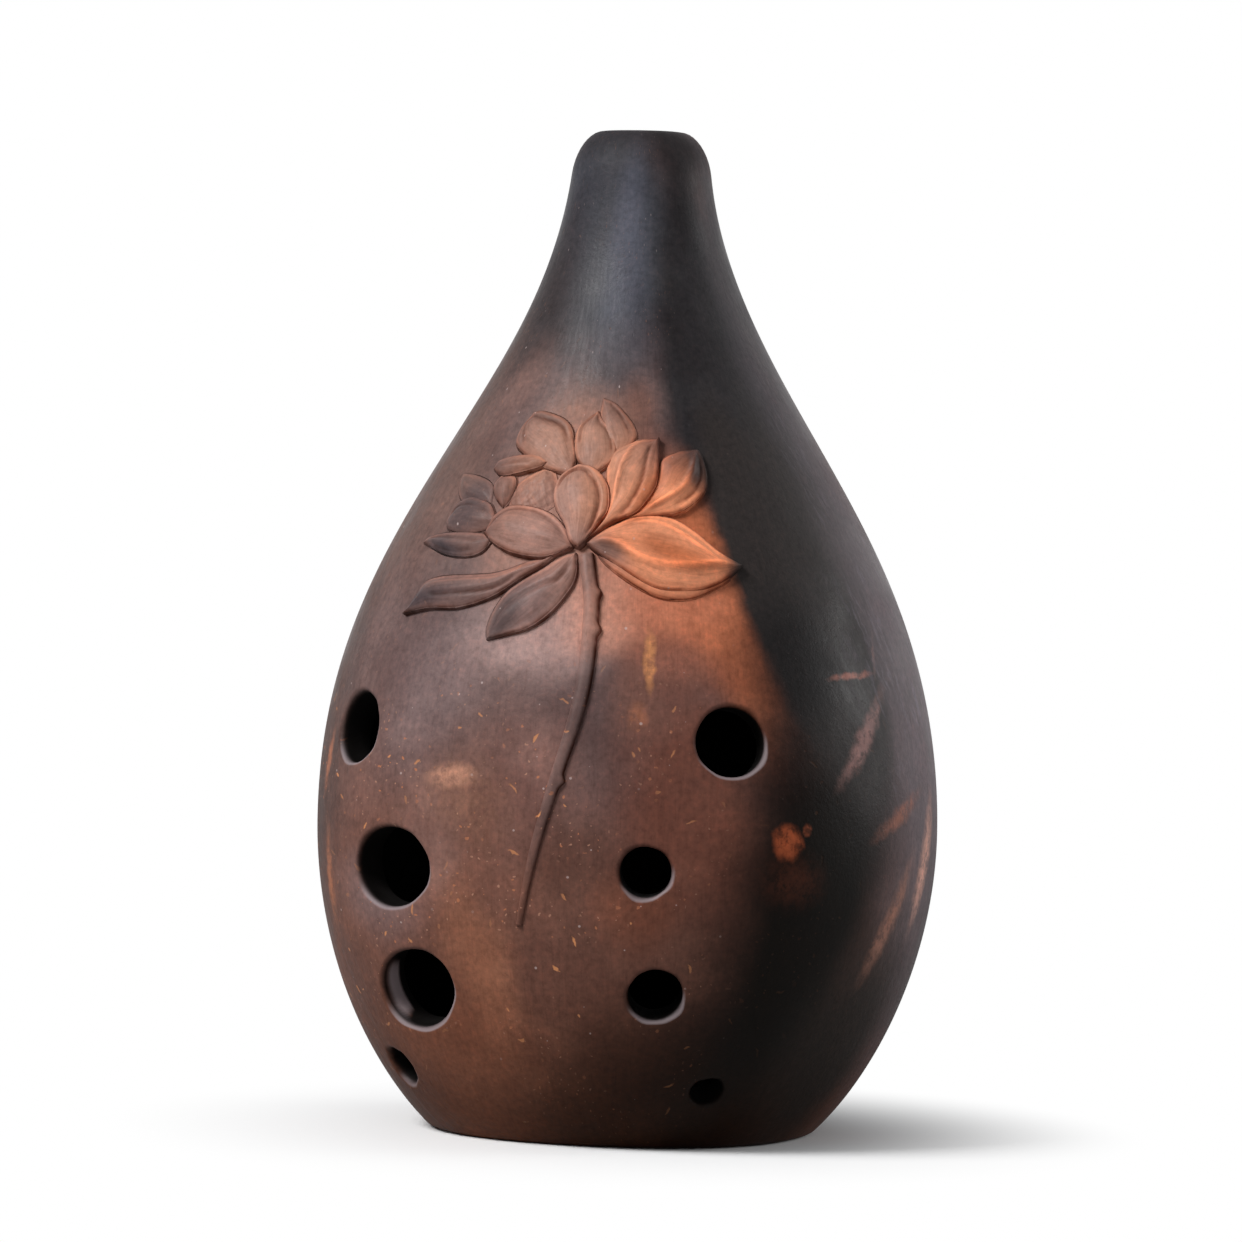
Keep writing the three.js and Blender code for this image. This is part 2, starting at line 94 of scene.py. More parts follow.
def bezier(a, b, c, d):
    t = np.linspace(0, 1, curvePoints)[:, None]
    a, b, c, d = (np.array(point, float) for point in (a, b, c, d))
    points = (1 - t) ** 3 * a + 3 * t * (1 - t) ** 2 * b + 3 * t * t * (1 - t) * c + t ** 3 * d
    runs = (1 - t) ** 2 * (b - a) + 2 * t * (1 - t) * (c - b) + t * t * (d - c)
    return points, runs / np.linalg.norm(runs, axis=1)[:, None]


def lengthsAlong(points):
    return np.concatenate([[0], np.cumsum(np.linalg.norm(np.diff(points, axis=0), axis=1))])


def evenly(points, count, others=()):
    along = lengthsAlong(points)
    spots = np.linspace(0, along[-1], count + 1)
    return [np.stack([np.interp(spots, along, column) for column in values.T], 1)
            for values in (points, *others)]


def smooth(value, low, high):
    share = np.clip((value - low) / (high - low), 0, 1)
    return share * share * (3 - 2 * share)


footAngle = math.radians(body["footAngle"])
footInset = body["footRound"] * math.tan(footAngle / 2)
footMiddle = np.array([body["footHalfWidth"] - footInset, body["footRound"]])
footTurns = np.linspace(-math.pi / 2, -math.pi / 2 + footAngle, 5)
footArc = footMiddle + body["footRound"] * np.stack([np.cos(footTurns), np.sin(footTurns)], 1)
belly = np.array([body["bellyHalfWidth"], body["bellyHeight"]])
neckEnd = np.array([body["neckHalfWidth"], body["height"] - body["lipHeight"]])
neckLean = math.radians(body["neckLean"])
lowerCurve, lowerRuns = bezier(
    footArc[-1], footArc[-1] + body["footReach"] * np.array([math.cos(footAngle), math.sin(footAngle)]),
    belly - [0, body["bellyReachDown"]], belly)
upperCurve, upperRuns = bezier(
    belly, belly + [0, body["bellyReachUp"]],
    neckEnd + body["neckReach"] * np.array([math.sin(neckLean), -math.cos(neckLean)]), neckEnd)
lipTurns = np.linspace(0, math.pi / 2, 11)
lipLean = body["lipHeight"] * math.tan(neckLean)  # the lip goes on closing in as the neck does
lipArc = neckEnd - [body["lipWidth"], 0] + np.stack(
    [(body["lipWidth"] - lipLean) * np.cos(lipTurns) + lipLean * (1 - np.sin(lipTurns)),
     body["lipHeight"] * np.sin(lipTurns)], 1)
sideCurve = np.concatenate([footArc, lowerCurve[1:], upperCurve[1:], lipArc[1:]])


def sectionRadius(half, deep, side):
    across = np.abs(np.sin(side)) / np.maximum(half, 1e-6)
    ahead = np.abs(np.cos(side)) / np.maximum(deep, 1e-6)
    return (across ** body["sectionPower"] + ahead ** body["sectionPower"]) ** (-1 / body["sectionPower"])


def uneven(side, z):
    waves = (0.5 * np.sin(2 * side + z / 31 + 0.6) + 0.35 * np.sin(3 * side - z / 17 + 1.9)
             + 0.3 * np.sin(5 * side + z / 11 + 0.3) + 0.12 * np.sin(9 * side - z / 7 + 2))
    return body["unevenness"] * waves * smooth(z, *body["unevenFrom"]) * (1 - smooth(z, *body["unevenTo"]))


def skin(side, z):
    half = np.interp(z, sideCurve[:, 1], sideCurve[:, 0])
    radius = sectionRadius(half, half * body["depthShare"], side) + uneven(side, z)
    return np.stack([radius * np.sin(side), -radius * np.cos(side), z + 0 * radius], -1)


# Ways across, up and out of the skin, from places a little apart
sideNudge, upNudge = 0.004, 0.15


def skinFrame(side, z):
    across = skin(side + sideNudge, z) - skin(side - sideNudge, z)
    up = skin(side, z + upNudge) - skin(side, z - upNudge)
    return [way / np.linalg.norm(way, axis=-1, keepdims=True) for way in (across, up, np.cross(across, up))]


# Finger and thumb holes, seen from outside: degrees round from the front, height, width, tallness, turn,
# how pale the rim is painted, partly wear and partly highlight, and how much painted light falls on the left
# of the bore
holes = {
    "upperLeft": (-41.5, 60.6, 10.6, 10.6, 0, 0.8, 0),
    "upperRight": (41.8, 60.6, 10.2, 10.2, 0, 0.8, 0),
    "middleLeft": (-28.7, 40.5, 15.3, 11.7, 6, 0.8, 0),
    "middleRight": (26, 41.6, 7.4, 7.4, 0, 0.8, 0),
    "lowerLeft": (-26.4, 22.5, 15.6, 11.7, 23, 1.0, 0.9),
    "lowerRight": (28.8, 23.5, 7.9, 7.9, 0, 0.8, 0),
    "lowestLeft": (-42.7, 10, 6.2, 6.2, 0, 0.6, 0),
    "lowestRight": (43.1, 8.9, 4.8, 4.8, 0, 0.1, 0),
    "thumbRight": (158, 60, 10, 10, 0, 0.6, 0),
    "thumbLeft": (-158, 60, 10, 10, 0, 0.6, 0),
}
holeFinish = {"rimRound": 0.8, "margin": 1.1, "ragged": 0.12, "innerRound": 0.35}


# Rows of the shell's section, once round it: base, side, lip, mouth, chamber and floor
def sectionRows():
    rows = []
    share = body["depthShare"]

    def add(half, z, part, deep=None):
        rows.append((half, half * share if deep is None else deep, z, part))

    baseEdge = footArc[0][0]
    for half in (*body["baseRings"], baseEdge - body["baseRim"], baseEdge):
        add(half, 0, "base")
    for half, z in footArc[1:-1]:
        add(half, z, "side")
    chamber = []
    for points, runs in ((lowerCurve, lowerRuns), (upperCurve, upperRuns)):
        steps = round(lengthsAlong(points)[-1] / body["rowStep"])
        even, evenRuns = evenly(points, steps, (runs,))
        for (half, z), run in list(zip(even, evenRuns))[(0 if points is lowerCurve else 1):]:
            inset = body["wall"] * run[1]
            chamber.append((len(rows), half - inset, half * share - inset, z + body["wall"] * run[0]))
            add(half, z, "side")
    for half, z in lipArc[1:]:
        add(half, z, "side")
    mouth, height, roundness = body["mouthWidth"] / 2, body["height"], body["mouthRound"]
    for turn in np.linspace(0, math.pi / 2, 5):
        add(mouth + roundness * (1 - math.sin(turn)), height - roundness * (1 - math.cos(turn)), "mouth")
    for below in sorted((*body["mouthRings"], body["mouthBevelDepth"])):
        add(mouth, height - below, "mouth")
    innerRow = {}
    for outerRow, half, deep, z in reversed(chamber):
        if z > body["floorThickness"] + body["floorGap"]:
            innerRow[outerRow] = len(rows)
            add(half, z, "chamber", deep)
    half, deep = rows[-1][:2]
    for less in body["floorRings"]:
        add(half - less, body["floorThickness"], "chamber", deep - less)
    add(0, body["floorThickness"], "chamber")
    return rows, innerRow


rows, innerRow = sectionRows()


def seamAngle(half, deep):
    slip = body["halfSlip"]
    if deep <= slip:
        return 0.0
    reach = half * (1 - (slip / deep) ** body["sectionPower"]) ** (1 / body["sectionPower"])
    return math.atan2(reach, slip)


def rowPoints(row, sides):
    half, deep, z, part = row
    radius = sectionRadius(half, deep, sides) if half > 0 else 0 * sides
    if part == "side":
        radius = radius + uneven(sides, z)
    points = np.stack([radius * np.sin(sides), -radius * np.cos(sides), z + 0 * sides], -1)
    if part == "mouth":
        bevel = min(1, max(0, z - body["height"] + body["mouthBevelDepth"]) / body["mouthBevelDepth"])
        points[:, 1] -= body["mouthBevel"] * np.maximum(0, np.cos(sides)) * bevel
    return points


# A piece's points, the values stored on them, and its faces
class Clay:
    def __init__(self, *labels):
        self.points = []
        self.values = {label: [] for label in labels}
        self.faces = []
        self.flat = []

    def point(self, place, *numbers):
        self.points.append(tuple(place))
        for stored, number in zip(self.values.values(), numbers):
            stored.append(number)
        return len(self.points) - 1

    def ring(self, places, *numbers):
        return [self.point(*each) for each in zip(places, *numbers)]

    def face(self, *corners, flat=False):
        kept = [corner for k, corner in enumerate(corners) if corner != corners[k - 1]]
        if len(set(kept)) > 2:
            self.faces.append(kept)
            self.flat.append(flat)

    def strip(self, first, second):
        for k in range(len(first)):
            following = (k + 1) % len(first)
            self.face(first[k], first[following], second[following], second[k])
        return second


# painted shade inside the vessel: none outside, some down the mouth, full in the chamber
partInsideShade = {"base": 0.0, "side": 0.0, "mouth": 0.6, "chamber": 1.0}


def halfShell(facing, holesHere):
    clay = Clay("rimWearAndLight", "hollow")
    steps = body["columns"]
    shares = np.linspace(-1, 1, steps + 1)
    slip = -body["halfSlip"] if facing == 0 else body["halfSlip"]
    grid = []
    for row in rows:
        edge = seamAngle(row[0], row[1])
        places = rowPoints(row, facing + shares * edge)
        hollow = partInsideShade[row[3]]
        if edge == 0:
            places[:] = (0, slip, row[2])
        places[[0, -1], 1] = slip
        if edge == 0 or row[0] == 0:
            grid.append([clay.point(places[0], 0, hollow)] * (steps + 1))
        else:
            grid.append([clay.point(place, 0, hollow) for place in places])
    taken = np.zeros((len(rows), steps), bool)
    for name in holesHere:
        cutHole(clay, grid, taken, facing, shares, *holes[name])
    for j, i in np.argwhere(~taken[:-1]):
        clay.face(grid[j][i], grid[j][i + 1], grid[j + 1][i + 1], grid[j + 1][i])
    clay.face(*[row[-1] for row in grid], flat=True)
    clay.face(*[row[0] for row in reversed(grid)], flat=True)
    return clay, grid


def cutHole(clay, grid, taken, facing, shares, degrees, up, width, tall, turned, rimWearAndLightShare, pale):
    side, turned = math.radians(degrees), math.radians(turned)
    local = (side - facing + math.pi) % (2 * math.pi) - math.pi
    here = np.array([side]), np.array([float(up)])
    upward, out = (way[0] for way in skinFrame(*here)[1:])
    reach = float(np.hypot(*skin(*here)[0][:2]))
    margin = holeFinish["rimRound"] + holeFinish["margin"]
    cos, sin = math.cos(turned), math.sin(turned)
    wide = math.hypot(width / 2 * cos, tall / 2 * sin) + margin
    high = (math.hypot(width / 2 * sin, tall / 2 * cos) + margin) * upward[2]
    sideRows = [j for j, row in enumerate(rows) if row[3] == "side"]
    low = max(j for j in sideRows if rows[j][2] <= up - high)
    top = min(j for j in sideRows if rows[j][2] >= up + high)
    middle = rows[(low + top) // 2]
    angles = shares * seamAngle(middle[0], middle[1])
    left = max(i for i, angle in enumerate(angles) if angle <= local - wide / reach)
    right = min(i for i, angle in enumerate(angles) if angle >= local + wide / reach)
    loop = ([(low, i) for i in range(left, right)] + [(j, right) for j in range(low, top)]
            + [(top, i) for i in range(right, left, -1)] + [(j, left) for j in range(top, low, -1)])
    taken[low:top, left:right] = True
    taken[innerRow[top]:innerRow[low], left:right] = True

    # the block's edge on the hole's own flat plan
    plan = np.array([((shares[i] * seamAngle(rows[j][0], rows[j][1]) - local) * reach,
                      (rows[j][2] - up) / upward[2]) for j, i in loop])
    turnBack = np.array([[cos, sin], [-sin, cos]])
    own = plan @ turnBack.T
    turns = np.arctan2(own[:, 1] / (tall / 2), own[:, 0] / (width / 2))
    waves = np.sin(3 * turns + degrees) + 0.6 * np.sin(5 * turns + up) + 0.4 * np.sin(9 * turns)

    def ringSpots(grow, ragged=0.0):
        grown = grow + ragged * holeFinish["ragged"] * waves
        spots = np.stack([(width / 2 + grown) * np.cos(turns), (tall / 2 + grown) * np.sin(turns)], 1)
        return spots @ turnBack

    def onSkin(spots):
        return skin(side + spots[:, 0] / reach, up + spots[:, 1] * upward[2])

    # the rim is paler on its lower edge, which faces the light from above: partly wear, partly painted
    # highlight
    facingDown = -np.sin(turns + turned) + 0.35 * np.cos(turns + turned)
    lowerRimLit = 0.25 + 0.75 * smooth(facingDown, -0.2, 0.7)
    none = 0 * turns
    roundness = holeFinish["rimRound"]
    rim = ringSpots(roundness, 1)
    last = [grid[j][i] for j, i in loop]
    for share in (0.5, 0.8):
        last = clay.strip(last, clay.ring(onSkin(plan * (1 - share) + rim * share), none, none))
    for turn in np.linspace(0, math.pi / 2, 6):
        places = onSkin(ringSpots(roundness * (1 - math.sin(turn)), math.cos(turn)))
        places = places - out * roundness * (1 - math.cos(turn))
        wornAndLit = rimWearAndLightShare * math.sin(2 * min(turn, math.pi / 4)) * lowerRimLit
        last = clay.strip(last, clay.ring(places, wornAndLit, none + 0.2 * turn))
    depths = boreDepths(onSkin(ringSpots(0)), out)
    innerRound = holeFinish["innerRound"]
    # painted light on the left wall of the bore, where it shows lit: it takes the rim's pale colour in place
    # of the painted inside shade
    paleSide = pale * smooth(-np.cos(turns + turned - 0.1), 0.45, 0.95)
    # the bore's wall gets more painted shade the deeper it goes
    for share, less, grow, hollow in ((0.3, 0, 0, 0.5), (0.6, 0, 0, 0.8), (1, innerRound, 0, 1),
                                      (1, 0, innerRound, 1)):
        depth = roundness + (depths - less - roundness) * share
        places = onSkin(ringSpots(grow)) - out * depth[:, None]
        lit = paleSide * (1 if share < 1 else 0.3)
        last = clay.strip(last, clay.ring(places, lit, hollow * (1 - lit)))
    clay.strip(last, [grid[innerRow[j]][i] for j, i in loop])


# How deep each line of a bore runs before it comes out in the chamber
def boreDepths(places, out):
    chamber = [row for row in rows if row[3] == "chamber" and row[0] > 0][::-1]
    halves, deeps, heights = (np.array([row[k] for row in chamber]) for k in range(3))
    low = np.full(len(places), 1.0)
    high = np.full(len(places), body["wall"] + 7.0)
    power = body["sectionPower"]
    for _ in range(40):
        depth = (low + high) / 2
        spot = places - out * depth[:, None]
        half, deep = (np.interp(spot[:, 2], heights, sizes) for sizes in (halves, deeps))
        inside = (np.abs(spot[:, 0]) / half) ** power + (np.abs(spot[:, 1]) / deep) ** power < 1
        high = np.where(inside, depth, high)
        low = np.where(inside, low, depth)
    return (low + high) / 2


def seamStrip(frontClay, frontGrid, backClay, backGrid):
    clay = Clay("rimWearAndLight", "hollow")
    grid = []
    slip = body["halfSlip"]
    for j, row in enumerate(rows):
        hollow = partInsideShade[row[3]]
        if row[1] <= slip:
            ends = [clay.point((0, y, row[2]), 0, hollow) for y in (-slip, 0, slip)]
            grid.append(ends + ends[::-1])
            continue
        middles = rowPoints(row, np.array([math.pi / 2, -math.pi / 2]))
        middles[:, 1] = 0
        order = [frontClay.points[frontGrid[j][-1]], middles[0], backClay.points[backGrid[j][0]],
                 backClay.points[backGrid[j][-1]], middles[1], frontClay.points[frontGrid[j][0]]]
        grid.append([clay.point(place, 0, hollow) for place in order])
    for j in range(len(rows) - 1):
        for i in (0, 1, 3, 4):
            clay.face(grid[j][i], grid[j][i + 1], grid[j + 1][i + 1], grid[j + 1][i])
    for i, way in ((0, -1), (2, 1), (3, -1), (5, 1)):
        clay.face(*[row[i] for row in grid][::way], flat=True)
    return clay


# Slow waves that keep the clouds' edges from being even
def drift(points, phase):
    x, y, z = points.T
    return (np.sin(x / 7.3 + y / 11 + z / 9.1 + phase)
            + 0.7 * np.sin(y / 5.2 - x / 8.4 + z / 4.7 + 2.3 * phase)
            + 0.5 * np.sin(x / 2.9 - z / 3.7 + 1.7 * phase) + 0.3 * np.sin(z / 1.9 + y / 2.3 - 0.6 * phase))


# Colours are placed on a plan: the way round the xun, as on a cylinder of this radius, and the height
planRadius = 40.0


# Fired colour of each point, cloud over cloud, with the painted shade and sheen that some clouds carry, in
# linear light
def firedAndPaintedColours(points, clouds):
    points = np.array(points)
    plan = np.stack([np.arctan2(points[:, 0], -points[:, 1]) * planRadius, points[:, 2]], 1)
    plan += clayFinish["drift"] * np.stack([drift(points, 0.4), drift(points, 3.1)], 1)
    halfWay = planRadius * math.pi
    colours = np.tile(np.array(tint(*clayFinish["bare"])), (len(points), 1))
    for (degrees, height), (wide, high), turn, soft, shade, strength in clouds:
        x, y = (plan - [math.radians(degrees) * planRadius, height]).T
        x = (x + halfWay) % (2 * halfWay) - halfWay
        cos, sin = math.cos(math.radians(turn)), math.sin(math.radians(turn))
        far = np.hypot((x * cos + y * sin) / wide, (y * cos - x * sin) / high)
        share = strength * (1 - smooth(far, 1 - soft, 1 + soft))[:, None]
        colours = colours * (1 - share) + np.array(tint(*shade)) * share
    return colours


def seamPoints(points):
    found = np.nonzero(np.abs(np.abs(points[:, 1]) - body["halfSlip"]) < 1e-6)[0]
    return [(k, tuple(np.round(points[k], 4))) for k in found]


# Vertex normals of the burnished faces, shared where pieces meet so that no joint shows
def sharedNormals(clays):
    sums, found = {}, []
    for clay in clays:
        points = np.array(clay.points)
        normals = np.zeros_like(points)
        for face, flat in zip(clay.faces, clay.flat):
            if not flat:
                a, b, c, d = (points[face[k]] for k in (0, 1, 2, -1))
                normal = np.cross(c - a, d - b) if len(face) > 3 else np.cross(b - a, c - a)
                for corner in face:
                    normals[corner] += normal
        found.append(normals)
        for k, place in seamPoints(points):
            sums[place] = sums.get(place, 0) + normals[k]
    for clay, normals in zip(clays, found):
        for k, place in seamPoints(np.array(clay.points)):
            normals[k] = sums[place]
        normals /= np.maximum(np.linalg.norm(normals, axis=1, keepdims=True), 1e-12)
    return found


def addPiece(name, clay, material, node, slot, normals=None):
    mesh = bpy.data.meshes.new(name)
    mesh.from_pydata([tuple(c * millimetre for c in point) for point in clay.points], [], clay.faces)
    mesh.polygons.foreach_set("use_smooth", [not flat for flat in clay.flat])
    for label, numbers in clay.values.items():
        mesh.attributes.new(label, "FLOAT", "POINT").data.foreach_set("value", np.array(numbers, np.float32))
    clouds = [*fireAndPaintedLightClouds.values(), *(petalClouds.values() if normals is None else ())]
    layer = mesh.attributes.new("firedAndPaintedLight", "FLOAT_COLOR", "POINT")
    layer.data.foreach_set("color", firedAndPaintedColours(clay.points, clouds).astype(np.float32).ravel())
    if normals is not None:
        own = []
        for polygon, flat in zip(mesh.polygons, clay.flat):
            own += [tuple(polygon.normal if flat else normals[k]) for k in polygon.vertices]
        mesh.normals_split_custom_set(own)
    mesh.materials.append(material)
    piece = bpy.data.objects.new(name, mesh)
    bpy.context.scene.collection.objects.link(piece)
    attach(piece, "root")
    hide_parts(node)


# Shader recipes: one socket with the sums it can take part in, and one way to add a node
class Value:
    def __init__(self, recipe, socket):
        self.recipe = recipe
        self.socket = socket

    def other(self, name):
        return Value(self.recipe, self.socket.node.outputs[name])

    def math(self, operation, *others):
        return self.recipe.node("Math", {"operation": operation}, dict(enumerate((self, *others))))

    def __rsub__(self, other):
        return self.recipe.node("Math", {"operation": "SUBTRACT"}, {0: other, 1: self})

    def __neg__(self):
        return self * -1

    def step(self, low, high, start=0.0, end=1.0):
        return self.recipe.node("MapRange", {"interpolation_type": "SMOOTHSTEP"},
                                {0: self, 1: low, 2: high, 3: start, 4: end})


for name, operation in (
        ("__add__", "ADD"), ("__radd__", "ADD"), ("__sub__", "SUBTRACT"), ("__mul__", "MULTIPLY"),
        ("__rmul__", "MULTIPLY"), ("__truediv__", "DIVIDE"), ("__pow__", "POWER"), ("atMost", "MINIMUM"),
        ("atLeast", "MAXIMUM"), ("under", "LESS_THAN")):
    setattr(Value, name, lambda self, other, operation=operation: self.math(operation, other))


class Recipe:
    def __init__(self, name, world=False):
        self.material = (bpy.data.worlds if world else bpy.data.materials).new(name)
        self.material.use_nodes = True
        self.tree = self.material.node_tree
        self.tree.nodes.clear()

    def node(self, kind, settings=None, inputs=None, out=0):
        made = self.tree.nodes.new("ShaderNode" + kind)
        for name, value in (settings or {}).items():
            setattr(made, name, value)
        for name, value in (inputs or {}).items():
            if isinstance(value, Value):
                self.tree.links.new(value.socket, made.inputs[name])
            else:
                made.inputs[name].default_value = value
        return Value(self, made.outputs[out]) if made.outputs else None

    def mix(self, factor, a, b, blend="MIX"):
        settings = {"data_type": "RGBA", "blend_type": blend, "clamp_factor": True}
        return self.node("Mix", settings, {0: factor, 6: a, 7: b}, 2)

    def join(self, x, y, z=0.0):
        return self.node("CombineXYZ", {}, {0: x, 1: y, 2: z})

    def vector(self, operation, *others, scale=None, out=0):
        inputs = dict(enumerate(others)) if scale is None else {0: others[0], "Scale": scale}
        return self.node("VectorMath", {"operation": operation}, inputs, out)

    def noise(self, vector, scale, detail=3.0, roughness=0.55, distortion=0.0, out=0):
        return self.node("TexNoise", {}, {"Vector": vector, "Scale": scale, "Detail": detail,
                                         "Roughness": roughness, "Distortion": distortion}, out)

    def cells(self, plan, size, out):
        return self.node("TexVoronoi", {"voronoi_dimensions": "2D"}, {"Vector": plan, "Scale": 1 / size}, out)

    def split(self, vector, out=0):
        return self.node("SeparateXYZ", {}, {0: vector}, out)

    def stored(self, name, out="Fac"):
        return self.node("Attribute", {"attribute_name": name}, out=out)

    # the plan as seen from a mark: moved to its middle, turned with it and shrunk by its size
    def within(self, plan, middle, degrees, size):
        return self.node("Mapping", {"vector_type": "TEXTURE"}, {
            0: plan, 1: (*middle, 0.0), 2: (0.0, 0.0, math.radians(degrees)), 3: (*size, 1.0)})


def tint(red, green, blue):
    linear = lambda v: v / 255 / 12.92 if v <= 10 else ((v / 255 + 0.055) / 1.055) ** 2.4
    return (linear(red), linear(green), linear(blue), 1.0)


# The fire's clouds on the plan, some of them with painted core shadow down the right side and painted sheen
# on the neck and right side: middle in degrees round from the front and millimetres up, reach across and up
# in millimetres, turn in degrees, softness of the edge, colour and strength
fireAndPaintedLightClouds = {
    "lowerBrown": ((-4, 30), (60, 27), 0, 0.6, (117, 78, 64), 0.85),
    "footBrown": ((0, -14), (220, 31), 0, 0.5, (98, 60, 43), 0.95),
    "leftEdge": ((-64, 66), (12, 36), 0, 0.5, (80, 61, 56), 0.85),
    "leftGround": ((-36, 86), (5, 4), 0, 0.7, (150, 114, 103), 0.6),
    "shoulderBrown": ((-42, 95), (15, 12), -15, 0.6, (109, 84, 76), 0.75),
    "leftMauve": ((-22, 68), (8, 12), 0, 0.7, (122, 103, 102), 0.8),
    "lowLeftMauve": ((-34, 37), (7, 6), 0, 0.7, (130, 107, 105), 0.8),
    "leftPetalGrey": ((-24, 84), (13, 9), 15, 0.7, (106, 88, 86), 0.7),
    "midMauve": ((17, 60), (8, 13), 10, 0.7, (96, 76, 74), 0.75),
    # pale clay with a painted highlight below the flower
    "underHeartPaleAndHighlight": ((4, 76.5), (11, 5.5), 8, 0.7, (182, 152, 146), 0.85),
    "neckSmoke": ((-10, 134), (56, 18), -5, 0.35, (60, 63, 70), 0.95),
    # dusty neck with a painted sheen
    "neckDustAndSheen": ((14, 131), (8, 14), -8, 0.8, (86, 89, 102), 0.7),
    "neckLeftBrown": ((-44, 122), (20, 12), 0, 0.6, (57, 50, 50), 0.85),
    "lipSmoke": ((-10, 151), (60, 5), 0, 0.6, (44, 44, 48), 0.85),
    # darker lip on the right: smoke and painted shade
    "lipRightSmokeAndShade": ((60, 149), (22, 6), 0, 0.6, (30, 29, 31), 0.85),
    "neckBase": ((13, 114), (8, 5), 0, 0.7, (66, 57, 57), 0.55),
    "shoulderLeft": ((-28, 112), (7, 6), 0, 0.7, (134, 100, 90), 0.3),
    "shoulderShade": ((21, 108), (5, 5), 0, 0.7, (108, 72, 60), 0.7),
    "leftOutline": ((-54, 106), (8, 14), -12, 0.6, (86, 66, 60), 0.65),
    "shoulderTan": ((2, 105), (10, 7), 0, 0.6, (150, 109, 92), 0.8),
    "heartTan": ((4, 91), (15, 13), -20, 0.5, (160, 114, 96), 0.85),
    # smoke-black right side with painted core shadow
    "charcoalNeckAndCoreShade": ((58, 104), (18, 44), 3, 0.25, (47, 45, 47), 1.0),
    "orangeGround": ((31, 86), (10.5, 15.5), 16, 0.4, (180, 104, 70), 0.95),
    "warmMiddle": ((35, 52), (10, 16), 8, 0.6, (120, 73, 58), 0.85),
    "orangeEdge": ((45, 73), (4.5, 15), 14, 0.5, (172, 102, 72), 0.95),
    "underPetal": ((20, 79), (8, 5), 0, 0.6, (196, 138, 116), 0.75),
    "underPetalRight": ((33, 80), (6, 5), 0, 0.6, (210, 130, 98), 0.75),
    "orangeFade": ((31, 71), (6, 4), 0, 0.7, (128, 84, 71), 0.75),
    "midTan": ((24, 66), (4, 5), 0, 0.7, (126, 88, 76), 0.6),
    "middleTan": ((3, 54), (5, 9), 0, 0.7, (132, 98, 90), 0.7),
    "middleShade": ((14, 40), (5, 9), 0, 0.7, (94, 65, 56), 0.55),
    "rightTan": ((24, 35), (4, 6), 0, 0.7, (126, 76, 57), 0.65),
    "leftTan": ((-20, 45), (5, 7), 0, 0.7, (140, 107, 98), 0.7),
    "lowerTan": ((-9.5, 27), (4.5, 10), 8, 0.8, (160, 107, 82), 0.85),
    "leftFoot": ((-18, 14), (12, 9), 0, 0.7, (138, 88, 66), 0.8),
    "baseEdge": ((-12, -1), (24, 6), 0, 0.6, (124, 72, 46), 0.6),
    "footSmoke": ((36, 4), (28, 15), 8, 0.6, (44, 22, 9), 0.95),
    # smoke-black lower right with painted core shadow
    "midRightSmokeAndCoreShade": ((61, 57), (10, 14), 0, 0.5, (44, 30, 27), 0.9),
    "lowerRightSmokeAndCoreShade": ((58, 32), (13, 32), -17, 0.55, (13, 7, 3), 1.0),
    "rightSmokeAndCoreShade": ((76, 86), (14, 24), 4, 0.4, (53, 48, 47), 1.0),
    # grey clay of the right side with painted sheen towards its edge, and the neck's painted rim sheen
    "greySideAndSheen": ((98, 60), (13, 44), 2, 0.6, (116, 105, 110), 0.9),
    "neckRightGreyAndRimSheen": ((90, 124), (13, 26), 0, 0.5, (78, 72, 77), 0.85),
    "neckBack": ((180, 134), (74, 22), 0, 0.5, (56, 54, 58), 0.85),
    "backSmoke": ((180, 92), (44, 34), 0, 0.5, (48, 43, 43), 0.9),
    "backBrown": ((-150, 44), (26, 24), 20, 0.6, (112, 78, 66), 0.85),
    "backOrange": ((-122, 66), (12, 18), -10, 0.6, (150, 98, 74), 0.75),
    "backLowSmoke": ((150, 24), (34, 22), 0, 0.6, (30, 21, 17), 0.9),
}

# The relief's own colours over them: the orange petals, their smoked tips and the grey left ones
petalClouds = {
    "topPetals": ((4, 100), (12, 7), -12, 0.5, (170, 126, 106), 0.85),
    "topTips": ((-6, 107), (10, 1.5), 0, 0.8, (116, 88, 80), 0.6),
    "middlePetals": ((4, 89), (9, 8), 0, 0.6, (164, 128, 117), 0.7),
    "lowerPetals": ((-4, 81), (6, 4), 0, 0.7, (126, 103, 100), 0.75),
    "greyLeft": ((-26, 85), (12, 9), 10, 0.5, (122, 96, 90), 0.75),
    "upperRightPetals": ((18, 97), (5, 7), -20, 0.6, (196, 138, 110), 0.8),
    "orangePetals": ((31, 90), (9.5, 10), -10, 0.4, (224, 148, 110), 0.95),
    "orangeBasin": ((31, 87), (5, 2), -10, 0.8, (184, 104, 66), 0.85),
    "orangeDeep": ((25, 96), (1.6, 5), -30, 0.8, (160, 88, 56), 0.75),
    "lowerRightRoot": ((17, 86), (3, 1.4), -30, 0.8, (104, 82, 76), 0.8),
    "lowerRightTip": ((45.5, 84.3), (3, 1.7), 0, 0.7, (54, 45, 46), 0.95),
    "rightTip": ((38.5, 101), (1.4, 2.6), 20, 0.7, (78, 60, 57), 0.9),
    "longPetalSmoke": ((-35, 80), (9, 2.2), 12, 0.7, (72, 64, 68), 0.9),
    "lowerPetalSmoke": ((-9, 78), (1.7, 5), -40, 0.7, (80, 67, 67), 0.8),
    "flatPetalSmoke": ((-30, 88), (4.4, 1.6), 0, 0.7, (72, 66, 71), 0.9),
    "upperLeftSmoke": ((-28, 93), (5, 2.2), 20, 0.7, (88, 75, 76), 0.75),
    "stemSmoke": ((9, 66), (5, 22), -6, 0.3, (112, 92, 88), 0.5),
}
